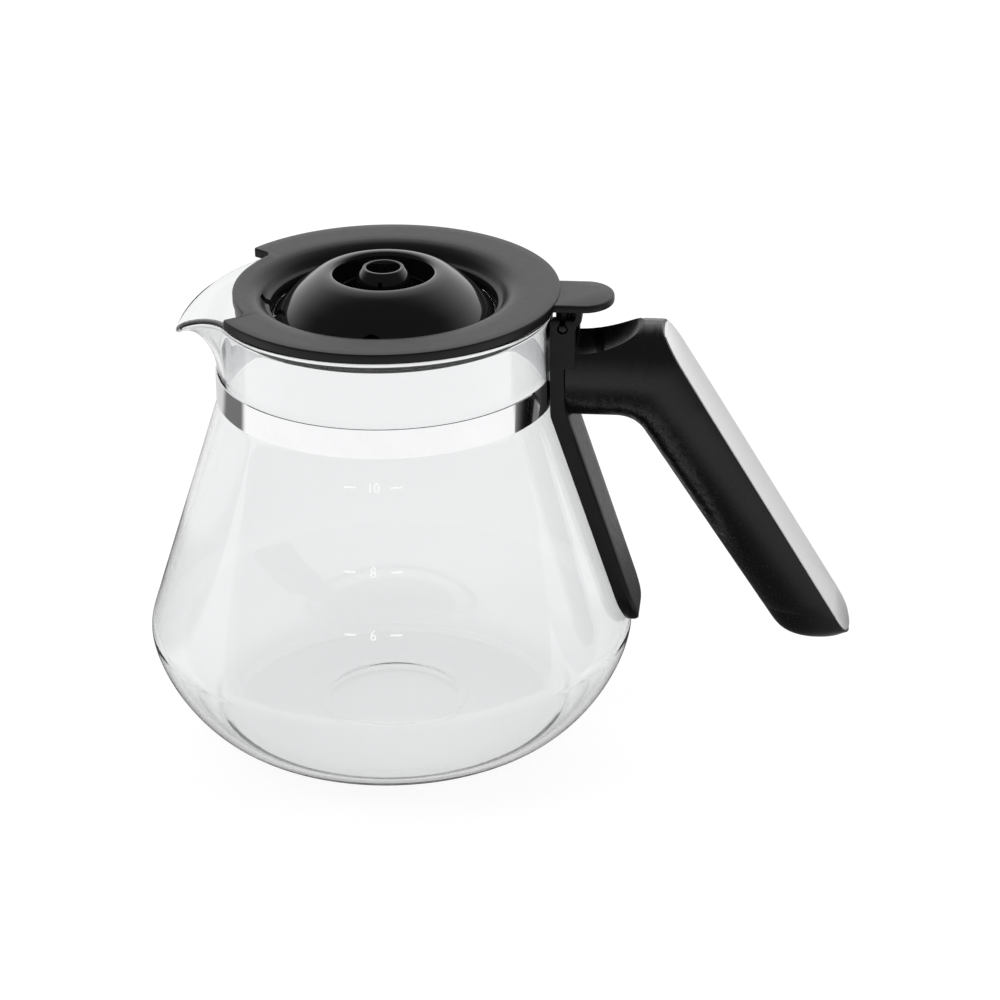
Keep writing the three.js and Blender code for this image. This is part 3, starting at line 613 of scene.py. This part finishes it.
def cut_depth(inner, ray, inset, scoop):
    """Length along the ray to the flat back, or to the thumb scoop where that is nearer."""
    facing = ray @ BACK_NORMAL
    depth = 1e9
    if facing > 1e-6:
        depth = ((BACK_POINT - BACK_NORMAL * inset - inner) @ BACK_NORMAL) / facing
    if scoop:
        offset = inner - np.array([SCOOP_X, SCOOP_Z])
        b, c = offset @ ray, offset @ offset - SCOOP_R ** 2
        if b * b > c and -b - math.sqrt(b * b - c) > 0:
            depth = min(depth, -b - math.sqrt(b * b - c))
    return depth


ROUND_STEPS, FLAT_STEPS, FILLET_STEPS = 36, 10, 6
BACK_POWER = 2.6
SEAM = 1.2


def bar_width(depth, length, half):
    """Half width of the bar at a depth: an ellipse toward the jug, squarer toward the back."""
    offset = (depth - length / 2) / (length / 2)
    power = 2.0 if offset < 0 else BACK_POWER
    return half * max(0.0, 1 - abs(offset) ** power) ** (1 / power)


def half_section(length, half, cut, fillet, dish=0.0):
    """Half of an oval, cut off at a depth, straight or hollowed by a dish, as (depth, width) points."""
    middle = length / 2
    if cut >= length - 0.02:
        cut = length - 0.02
    flat = bar_width(cut, length, half)
    fillet = min(fillet, flat * 0.45, 0.45 * cut)
    # where the rounded corner leaves the oval
    leave = cut - fillet * (1.0 if cut < length * 0.9 else 0.6)
    start_angle, end_angle = math.pi, math.acos(max(-1, min(1, (leave - middle) / middle)))
    points = []
    for a in np.linspace(start_angle, end_angle, ROUND_STEPS):
        u = middle + middle * math.cos(a)
        points.append((u, bar_width(u, length, half)))
    p0 = np.array(points[-1])
    p2 = np.array([cut, max(flat - fillet, flat * 0.5)])
    p1 = np.array([cut, flat])
    for t in np.linspace(0, 1, FILLET_STEPS + 1)[1:]:
        points.append(tuple((1 - t) ** 2 * p0 + 2 * t * (1 - t) * p1 + t * t * p2))
    for w in np.linspace(p2[1], 0, FLAT_STEPS + 1)[1:]:
        points.append((cut - dish * p2[1] * (1 - (w / p2[1]) ** 2), w))
    return points


def bar_rings(inset=0.0, back_inset=0.0, fillet=0.6, scoop=True):
    rings = []
    for inner, ray, length, half in bar_stations():
        if half - inset < 0.6 or length - 2 * inset < 1.5:
            continue
        start = inner + ray * inset
        if ray[1] < 1e-9:
            start = start + np.array([0, inset])
        cut = cut_depth(start, ray, back_inset, scoop)
        in_scoop = cut < min(length - 2 * inset, cut_depth(start, ray, back_inset, False)) - 0.02
        section = half_section(length - 2 * inset, half - inset, cut, fillet, SCOOP_DISH if in_scoop else 0)
        ring = [(start[0] + ray[0] * u, w, start[1] + ray[1] * u) for u, w in section]
        ring += [(x, -y, z) for x, y, z in ring[-2:0:-1]]
        rings.append(ring)
    return rings


def tab_sweep(clearance, widest):
    """Space the thumb tab sweeps as the lid turns about the hinge pin: a wedge of a round bowl about it."""
    lowest, swing = rad(-54), rad(144)
    profile = [(0.0, -widest)]
    for y in np.linspace(-widest, widest, 41):
        out = TAB_STRAIGHT - PIN_X + (TAB_REACH - TAB_STRAIGHT) * math.sqrt(1 - (y / TAB_HALF) ** 2)
        profile.append((math.hypot(out, TAB_TOP - PIN_Z) + clearance, y))
    profile.append((0.0, widest))
    verts, faces = revolved(profile, 64, lowest, swing)
    return [(PIN_X + x, z, PIN_Z + y) for x, y, z in verts], faces


def handle():
    wall, below_scoop, tab_gap, tab_edge = 2.4, 7.5, 0.6, 9.2
    shell_rings = bar_rings(0, SEAM + 0.02, 0.03)
    piece = make_piece("handle_shell_body", *lofted(shell_rings), "jug", SATIN_BLACK, ["handle_shell"],
                       "shell_plastic")
    shell_front = BACK_FACE + 0.02
    pocket = raw_object("pocket", *tab_sweep(tab_gap, tab_edge))
    behind = raw_object("behind", *extruded([(30, 90), (shell_front, 90), (shell_front, 160), (30, 160)],
                                            -20, 20, "y"))
    combine(pocket, [behind])
    plate = raw_object("plate", *extruded([(50, PLATE_LOW - 0.07), (shell_front, PLATE_LOW - 0.07),
                                           (shell_front, 140), (50, 140)], -20, 20, "y"))
    window = raw_object("window", *extruded([(50, 107.2), (64, 107.2), (64, 113.0), (50, 113.0)],
                                            -7.2, 7.2, "y"))
    screw = raw_object("screw_way", *extruded(circle(0, 0, 1.5, 32), 50, 66, "y"))
    for v in screw.data.vertices:
        v.co = Vector((v.co.y, v.co.x, v.co.z + 105.8 * MM))
    hollow = raw_object("hollow", *lofted(bar_rings(wall, -8, 0.6)))
    keep = raw_object("keep", *extruded(circle(PIN_X, PIN_Z, 19.7, 96), -10.9, 10.9, "y"))
    end_wall = raw_object("end_wall", *extruded([(50, 90), (60.4, 90), (60.4, 140), (50, 140)], -20, 20, "y"))
    scoop_wall = raw_object("scoop_wall", *extruded(circle(SCOOP_X, SCOOP_Z, SCOOP_R + below_scoop, 96),
                                                      -20, 20, "y"))
    combine(hollow, [keep, end_wall, scoop_wall])
    combine(piece, [pocket, plate, window, screw, hollow])
    return piece


handle()


def back_plane_outline(inset):
    """Outline of the flat back in (distance along it, width), shrunk by inset, as a closed ring."""
    samples = []
    for inner, ray, length, half in bar_stations():
        cut = cut_depth(inner, ray, 0, False)
        if cut >= length - 0.05 or cut <= 0.05:
            continue
        point = inner + ray * cut
        samples.append(((point - BACK_POINT) @ BACK_ALONG, bar_width(cut, length, half)))
    samples.sort()
    samples = np.array(samples)
    top, bottom = samples[0], samples[-1]
    top_tip = top[0] - 0.35 if top[1] < 3 else top[0] - top[1] ** 2 / 40
    half_ring = np.vstack([[top_tip, 0.0], samples, [bottom[0] + min(0.9, bottom[1] * 0.3), 0.0]])
    smooth = spline(half_ring, 160)
    slopes = np.gradient(smooth, axis=0)
    slopes /= np.linalg.norm(slopes, axis=1)[:, None]
    inward = np.column_stack([slopes[:, 1], -slopes[:, 0]])
    moved = smooth + inset * inward
    moved = moved[moved[:, 1] > 0.05]
    moved = np.vstack([[moved[0][0] - 0.03, 0.0], moved, [moved[-1][0] + 0.03, 0.0]])
    ring = [tuple(p) for p in moved] + [(t, -w) for t, w in moved[-2:0:-1]]
    return ring


def on_back(t, w, depth):
    """Point at a distance along the flat back, a width, and a depth below it."""
    x, z = BACK_POINT + BACK_ALONG * t - BACK_NORMAL * depth
    return (x, w, z)


def shrunk(ring, amount):
    """A ring of (distance, width) points moved inward by an amount along its own normals."""
    points = np.array(ring)
    slopes = np.roll(points, -1, axis=0) - np.roll(points, 1, axis=0)
    slopes /= np.maximum(np.linalg.norm(slopes, axis=1), 1e-9)[:, None]
    inward = np.column_stack([slopes[:, 1], -slopes[:, 0]])
    centre = points.mean(axis=0)
    if ((centre - points[0]) @ inward[0]) < 0:
        inward = -inward
    return points + amount * inward


def back_cover():
    """Frame of the flat back: a rounded rim, with a shallow recess for the inlay."""
    recess = 1.1
    outside = bar_rings(0, 0, 0.3)
    # the cover is the slice between the flat back and the seam
    piece = make_piece("handle_cover_rim", *lofted(outside), "jug", SATIN_BLACK, ["handle_cover"],
                       "cover_plastic")
    deep = raw_object("deep", *slab_block(SEAM, 80))
    ring = back_plane_outline(0.6)
    well = raw_object("well", *lofted([[on_back(t, w, depth) for t, w in ring] for depth in (-6, recess)]))
    combine(piece, [deep, well])
    return piece


def slab_block(shallow, deep):
    """Block between two depths below the flat back, far wider than the handle."""
    corners = [(-120, -40), (120, -40), (120, 40), (-120, 40)]
    return lofted([[on_back(t, w, shallow) for t, w in corners], [on_back(t, w, deep) for t, w in corners]])


back_cover()


def inlay():
    ring = back_plane_outline(0.72)
    proud, edge = 0.3, 0.14
    layers = [(0.62, 0.0), (edge - proud, 0.0), (edge * 0.3 - proud, edge * 0.3), (-proud, edge)]
    rings = [[on_back(t, w, depth) for t, w in shrunk(ring, inset)] for depth, inset in layers]
    make_piece("grip_inlay_plate", *lofted(rings), "jug", INLAY_STEEL, ["grip_inlay"], "inlay_steel",
               sharp=28)


inlay()

# ------------------------------------------------------------------ lid
LID_R, LID_LOW, LID_HIGH = 52.4, 137.1, 139.9
NOTCH_R, NOTCH_HALF = 44.9, rad(33.5)


def lid_boundary(count=720):
    """Plan outline of the lid ring, with its notch over the pouring lip, as points and inward normals."""
    corner_out, corner_in = 1.2, 2.6
    a0 = math.pi - NOTCH_HALF
    points = []
    # outer arc, from the notch's far side round by the handle to its near side
    gap = corner_out / LID_R
    for a in np.linspace(math.pi + NOTCH_HALF + gap, 2 * math.pi + a0 - gap, count):
        points.append((LID_R * math.cos(a), LID_R * math.sin(a)))

    def corner(p0, p1, p2, steps=8):
        p0, p1, p2 = (np.array(p) for p in (p0, p1, p2))
        return [tuple((1 - t) ** 2 * p0 + 2 * t * (1 - t) * p1 + t * t * p2)
                for t in np.linspace(0, 1, steps)[1:-1]]

    def polar(r, a):
        return (r * math.cos(a), r * math.sin(a))
    gap_in = corner_in / NOTCH_R
    points += corner(polar(LID_R, a0 - gap), polar(LID_R, a0), polar(LID_R - corner_out, a0))
    points += [polar(r, a0) for r in np.linspace(LID_R - corner_out, NOTCH_R + corner_in, 8)]
    points += corner(polar(NOTCH_R + corner_in, a0), polar(NOTCH_R, a0), polar(NOTCH_R, a0 + gap_in), 12)
    points += [polar(NOTCH_R, a) for a in np.linspace(a0 + gap_in, math.pi + NOTCH_HALF - gap_in, 130)]
    a1 = math.pi + NOTCH_HALF
    points += corner(polar(NOTCH_R, a1 - gap_in), polar(NOTCH_R, a1), polar(NOTCH_R + corner_in, a1), 12)
    points += [polar(r, a1) for r in np.linspace(NOTCH_R + corner_in, LID_R - corner_out, 8)]
    points += corner(polar(LID_R - corner_out, a1), polar(LID_R, a1), polar(LID_R, a1 + gap))
    points = np.array(points)
    slopes = np.roll(points, -1, axis=0) - np.roll(points, 1, axis=0)
    slopes /= np.linalg.norm(slopes, axis=1)[:, None]
    return points, np.column_stack([-slopes[:, 1], slopes[:, 0]])


def lid_ring():
    points, inward = lid_boundary()
    angles = np.unwrap(np.arctan2(points[:, 1], points[:, 0]))
    # spread the angles evenly so that the notch's radial sides don't fold up on the inner circles
    kernel = np.ones(31) / 31
    padded = np.concatenate([angles[-15:] - 2 * math.pi, angles, angles[:15] + 2 * math.pi])
    even = np.convolve(padded, kernel, mode="valid")

    def edge(inset, z):
        return np.column_stack([points + inward * inset, np.full(len(points), z)])

    def disc(radius, z):
        return np.column_stack([radius * np.cos(even), radius * np.sin(even), np.full(len(points), z)])
    rim = [(0.25, LID_LOW), (0.06, LID_LOW + 0.08), (0.0, LID_LOW + 0.3), (0.0, LID_HIGH - 0.9),
           (0.0, LID_HIGH - 0.4), (0.03, LID_HIGH - 0.25), (0.10, LID_HIGH - 0.12), (0.22, LID_HIGH - 0.03),
           (0.4, LID_HIGH)]
    layers = [edge(inset, z) for inset, z in rim]
    start, stop = layers[-1], disc(40.8, LID_HIGH - 0.18)
    for t in (0.25, 0.5, 0.75):
        layers.append(start * (1 - t) + stop * t)
    funnel = spline([(40.8, 139.72), (39.6, 139.5), (38.3, 139.0), (36.8, 137.8), (35.9, 136.5),
                     (35.3, 135.75)], 16)
    collar = [(35.1, 135.62), (34.9, 135.55), (34.3, 135.3), (34.05, 135.15), (33.95, 134.9), (33.95, 131.8),
              (34.1, 131.65), (35.5, 131.65), (36.3, 133.8), (37.8, 135.9), (39.4, 137.0)]
    skirt = [(43.15, 137.1), (43.2, 133.95), (43.35, 133.8), (44.2, 133.8), (44.35, 133.95), (44.4, 137.05)]
    layers += [disc(r, z) for r, z in [*funnel, *collar, *skirt]]
    verts, faces = lofted(layers, cap_start=False, cap_end=False)
    count = len(points)
    last = (len(layers) - 1) * count
    for j in range(count):
        k = (j + 1) % count
        faces.append((last + j, j, k, last + k))
    piece = make_piece("lid_ring_body", verts, faces, "lid", LID_BLACK, ["lid_ring"], "lid_plastic")
    return piece


def tab_outline(inset=0.0):
    half, straight, reach = TAB_HALF - inset, TAB_STRAIGHT, TAB_REACH - inset
    points = [(47.0, -half), (straight, -half)]
    points += [(straight + (reach - straight) * math.sin(a), -half * math.cos(a))
               for a in np.linspace(0, math.pi, 49)[1:-1]]
    points += [(straight, half), (47.0, half)]
    return points


def tab_and_lug(ring):
    layers = [(0.25, TAB_LOW), (0.05, TAB_LOW + 0.12), (0, TAB_LOW + 0.35),
              (0, TAB_TOP - 0.6), (0.12, TAB_TOP - 0.25), (0.4, TAB_TOP - 0.06), (0.8, TAB_TOP)]
    tab = raw_object("tab", *lofted([[(x, y, z) for x, y in tab_outline(inset)] for inset, z in layers]))
    lug_outline = ([(51.9, 138)] + arc((PIN_X, PIN_Z), 2.1, 180, 300, 14)
                   + [(56.6, PIN_Z - 1.9), (59.0, PIN_Z + 0.2), (59.4, PIN_Z + 1.2), (59.4, 138)])
    lug = raw_object("lug", *extruded(lug_outline, -7.2, 7.2, "y"))
    for obj in (tab, lug):
        step = obj.modifiers.new("soften", "BEVEL")
        step.width, step.segments, step.limit_method, step.angle_limit = 0.15 * MM, 2, "ANGLE", rad(50)
        mesh = bpy.data.meshes.new_from_object(obj.evaluated_get(bpy.context.evaluated_depsgraph_get()))
        obj.modifiers.clear()
        obj.data = mesh
    windows = [raw_object(f"window_{i}", *extruded([(a, 134.3), (b, 134.3), (b, 136.5), (a, 136.5)],
                                                   -9, 9, "y"))
               for i, (a, b) in enumerate(((54.95, 55.85), (56.35, 57.25)))]
    bore = raw_object("pin_bore", *extruded(circle(PIN_X, PIN_Z, 1.26, 40), -9, 9, "y"))
    combine(ring, [tab, lug], "UNION")
    vent = raw_object("vent", *extruded([(-36.4, -5.0), (-32, -5.0), (-32, -1.2), (-36.4, -1.2)],
                                        130, 141, "z"))
    combine(ring, [*windows, bore, vent])


tab_and_lug(lid_ring())


def lid_dome():
    top = spline([(14.85, 143.9), (15.1, 144.5), (15.7, 144.95), (16.6, 145.07), (18, 144.88), (20, 144.1),
                  (22.5, 142.5), (24.9, 140.6), (27, 138.7), (29.1, 136.5), (31, 134.5), (32.7, 132.6)], 64)
    profile = [(4.9, 136.6), (4.9, 138.2), (14.3, 138.2), (14.6, 138.3), (14.75, 138.6)]
    profile += [tuple(p) for p in top] + [(33.1, 132.0), (33.2, 131.2), (34.6, 131.2), (34.6, 130.1)]
    under = [(31.6, 130.1), (30.6, 132.6), (28.6, 134.8), (26.0, 137.3), (23.6, 139.4), (21.2, 141.3),
             (19.0, 142.6), (17.4, 142.9), (16.6, 142.2), (16.5, 141.0), (16.5, 136.6)]
    verts, faces = revolved(profile + under, 256)
    piece = make_piece("lid_dome_body", verts, faces, "lid", GLOSS_BLACK, ["lid_dome"], "dome_plastic",
                       sharp=40)
    cuts = []
    for i in range(4):
        middle = 45 + 90 * i
        ring = arc((0, 0), 13.8, middle - 33, middle + 33, 25)
        ring += arc((0, 0), 8.8, middle + 33, middle - 33, 19)
        cuts.append(raw_object(f"drain_{i}", *extruded(ring, 130, 141, "z")))
    arch = [(-3.7, 131.7), (3.7, 131.7)] + arc((0, 132.9), 3.7, 0, 180, 25)
    for side in (-1, 1):
        low, high = sorted((28.6 * side, 33.5 * side))
        cuts.append(raw_object(f"arch_{side + 1}", *extruded(arch, low, high, "y")))
    combine(piece, cuts, sharp=40)


lid_dome()


def pusher():
    outline = [(3.9, 133.5), (4.1, 133.4), (4.4, 133.4), (4.5, 133.6), (4.5, 138.4), (4.6, 138.5),
               (7.5, 138.5), (7.75, 138.7)]
    outline += [tuple(p) for p in spline([(7.9, 139.0), (8.2, 140.3), (8.25, 141.6), (8.0, 143.0),
                                          (7.4, 144.4), (6.7, 145.4), (6.3, 145.9)], 22)]
    outline += [(6.15, 146.1), (6.0, 146.25), (5.8, 146.3), (5.35, 146.3), (5.15, 146.2), (5.05, 145.9),
                (4.8, 144.8), (4.3, 142.5), (3.95, 140.5)]
    verts, faces = revolved(outline, 128)
    piece = make_piece("pusher_nub", verts, faces, "lid", GLOSS_BLACK, ["drip_stop_pusher"], "pusher_plastic",
                       sharp=40)
    slot = raw_object("nub_slot", *extruded([(-0.55, 140.6), (0.55, 140.6), (0.55, 144.2), (-0.55, 144.2)],
                                            -20, 20, "y"))
    combine(piece, [slot], sharp=40)


pusher()


def hinge_pin():
    far_end = [(1.2, 10.6), (1.1, 10.8), (0.9, 10.9), (0, 10.9)]
    ends = [(r, -along_pin) for r, along_pin in far_end[::-1]] + far_end
    verts, faces = revolved(ends, 48)
    verts = [(PIN_X + x, z, PIN_Z + y) for x, y, z in verts]
    make_piece("hinge_pin_rod", verts, faces, "lid", SATIN_BLACK, ["hinge_pin"], "pin_plastic")


hinge_pin()

# ------------------------------------------------------------------ CAD nodes that stay
for node_name, look in (("band_yoke", ZINC), ("band_screw", ZINC), ("shell_screw", ZINC),
                        ("cover_screw_upper", ZINC), ("cover_screw_lower", ZINC), ("strap_pad", SILICONE),
                        ("inlay_tape", TAPE), ("lid_flow_plate", SATIN_BLACK)):
    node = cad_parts[node_name]
    node.data.materials.clear()
    node.data.materials.append(look)

# ------------------------------------------------------------------ studio
floor_mesh = bpy.data.meshes.new("floor")
FLOOR_REACH, FLOOR_Z = 6, -0.0002
floor_corners = [(x * FLOOR_REACH, y * FLOOR_REACH, FLOOR_Z) for x, y in ((-1, -1), (1, -1), (1, 1), (-1, 1))]
floor_mesh.from_pydata(floor_corners, [], [(0, 1, 2, 3)])
floor = bpy.data.objects.new("floor", floor_mesh)
bpy.context.scene.collection.objects.link(floor)
floor_look, floor_tree, floor_shader = new_material("pale_floor")
floor_shader.inputs["Base Color"].default_value = (0.14, 0.14, 0.14, 1)
floor_shader.inputs["Roughness"].default_value = 0.9
floor_shader.inputs["Emission Color"].default_value = (1, 1, 1, 1)
# painted shade and painted reflections: every ray except glossy reflections sees an even glow of 0.91;
# reflections see the floor dark under the jug and handle and banded front to back
place = floor_tree.nodes.new("ShaderNodeTexCoord")
reach = floor_tree.nodes.new("ShaderNodeVectorMath")
reach.operation = "LENGTH"
floor_tree.links.new(place.outputs["Object"], reach.inputs[0])
# painted shadow in reflections: the glow is 0.03 within 0.10 m of the jug's centre and rises to full by 0.22
# m
under = floor_tree.nodes.new("ShaderNodeMapRange")
under.interpolation_type = "SMOOTHSTEP"
under.inputs["From Min"].default_value, under.inputs["From Max"].default_value = 0.10, 0.22
under.inputs["To Min"].default_value, under.inputs["To Max"].default_value = 0.03, 1.0
floor_tree.links.new(reach.outputs["Value"], under.inputs["Value"])
# painted reflection bands along Y: bright in front of the jug, a dark strip just behind its centre, then mid
# grey further back
depth = floor_tree.nodes.new("ShaderNodeSeparateXYZ")
floor_tree.links.new(place.outputs["Object"], depth.inputs["Vector"])
ramp_at = floor_tree.nodes.new("ShaderNodeMapRange")
ramp_at.inputs["From Min"].default_value, ramp_at.inputs["From Max"].default_value = -0.5, 0.5
floor_tree.links.new(depth.outputs["Y"], ramp_at.inputs["Value"])
painted_reflection_bands = floor_tree.nodes.new("ShaderNodeValToRGB")
painted_reflection_bands.color_ramp.interpolation = "EASE"
while len(painted_reflection_bands.color_ramp.elements) < 6:
    painted_reflection_bands.color_ramp.elements.new(0.5)
for stop, (at, level) in zip(painted_reflection_bands.color_ramp.elements, ((0.02, 0.3), (0.16, 1.0), (0.52, 1.0), (0.55, 0.05),
                                                         (0.64, 0.05), (0.68, 0.6))):
    stop.position, stop.color = at, (level, level, level, 1)
floor_tree.links.new(ramp_at.outputs["Result"], painted_reflection_bands.inputs["Fac"])
# reflections see the painted shadow multiplied by the painted bands
near = floor_tree.nodes.new("ShaderNodeMath")
near.operation = "MULTIPLY"
floor_tree.links.new(under.outputs["Result"], near.inputs[0])
floor_tree.links.new(painted_reflection_bands.outputs["Color"], near.inputs[1])
path = floor_tree.nodes.new("ShaderNodeLightPath")
mirrored = floor_tree.nodes.new("ShaderNodeMath")
mirrored.operation, mirrored.use_clamp = "SUBTRACT", True
floor_tree.links.new(path.outputs["Is Glossy Ray"], mirrored.inputs[0])
floor_tree.links.new(path.outputs["Is Transmission Ray"], mirrored.inputs[1])
# glossy rays that are not transmission rays get the painted shade and bands; all other rays get the even glow
glow = floor_tree.nodes.new("ShaderNodeMix")
glow.inputs["A"].default_value = 0.91
floor_tree.links.new(mirrored.outputs["Value"], glow.inputs["Factor"])
floor_tree.links.new(near.outputs["Value"], glow.inputs["B"])
floor_tree.links.new(glow.outputs["Result"], floor_shader.inputs["Emission Strength"])
floor_look.cycles.emission_sampling = "NONE"
floor_mesh.materials.append(floor_look)

world = bpy.data.worlds.new("studio")
bpy.context.scene.world = world
world.use_nodes = True
sky = world.node_tree
surround = sky.nodes["Background"]
direction = sky.nodes.new("ShaderNodeTexCoord")
split = sky.nodes.new("ShaderNodeSeparateXYZ")
sky.links.new(direction.outputs["Generated"], split.inputs["Vector"])
behind = sky.nodes.new("ShaderNodeMapRange")
behind.interpolation_type = "SMOOTHSTEP"
behind.inputs["From Min"].default_value, behind.inputs["From Max"].default_value = 0.0, 0.75
behind.inputs["To Min"].default_value, behind.inputs["To Max"].default_value = 0.2, 1.5
sky.links.new(split.outputs["Y"], behind.inputs["Value"])
seen = sky.nodes.new("ShaderNodeLightPath")
pick = sky.nodes.new("ShaderNodeMix")
pick.inputs["B"].default_value = 1.05
through = sky.nodes.new("ShaderNodeMix")
through.inputs["B"].default_value = 0.8
sky.links.new(seen.outputs["Is Transmission Ray"], through.inputs["Factor"])
sky.links.new(behind.outputs["Result"], through.inputs["A"])
sky.links.new(seen.outputs["Is Camera Ray"], pick.inputs["Factor"])
sky.links.new(through.outputs["Result"], pick.inputs["A"])
sky.links.new(pick.outputs["Result"], surround.inputs["Strength"])
surround.inputs["Color"].default_value = (1, 1, 1, 1)


def softbox(name, at, target, size, power):
    data = bpy.data.lights.new(name, "AREA")
    data.shape, data.size, data.size_y, data.energy = "RECTANGLE", size[0], size[1], power
    lamp = bpy.data.objects.new(name, data)
    bpy.context.scene.collection.objects.link(lamp)
    lamp.location = at
    lamp.rotation_mode = "QUATERNION"
    lamp.rotation_quaternion = (Vector(target) - Vector(at)).to_track_quat("-Z", "Y")
    lamp.visible_glossy = False
    lamp.visible_transmission = False
    return lamp


softbox("left_box", (-0.9, -0.35, 0.95), (0, 0, 0.08), (0.5, 0.9), 6.0)
softbox("right_box", (0.95, -0.25, 0.85), (0.05, 0, 0.08), (0.4, 0.9), 4.0)

bpy.context.scene.view_settings.view_transform = "Standard"
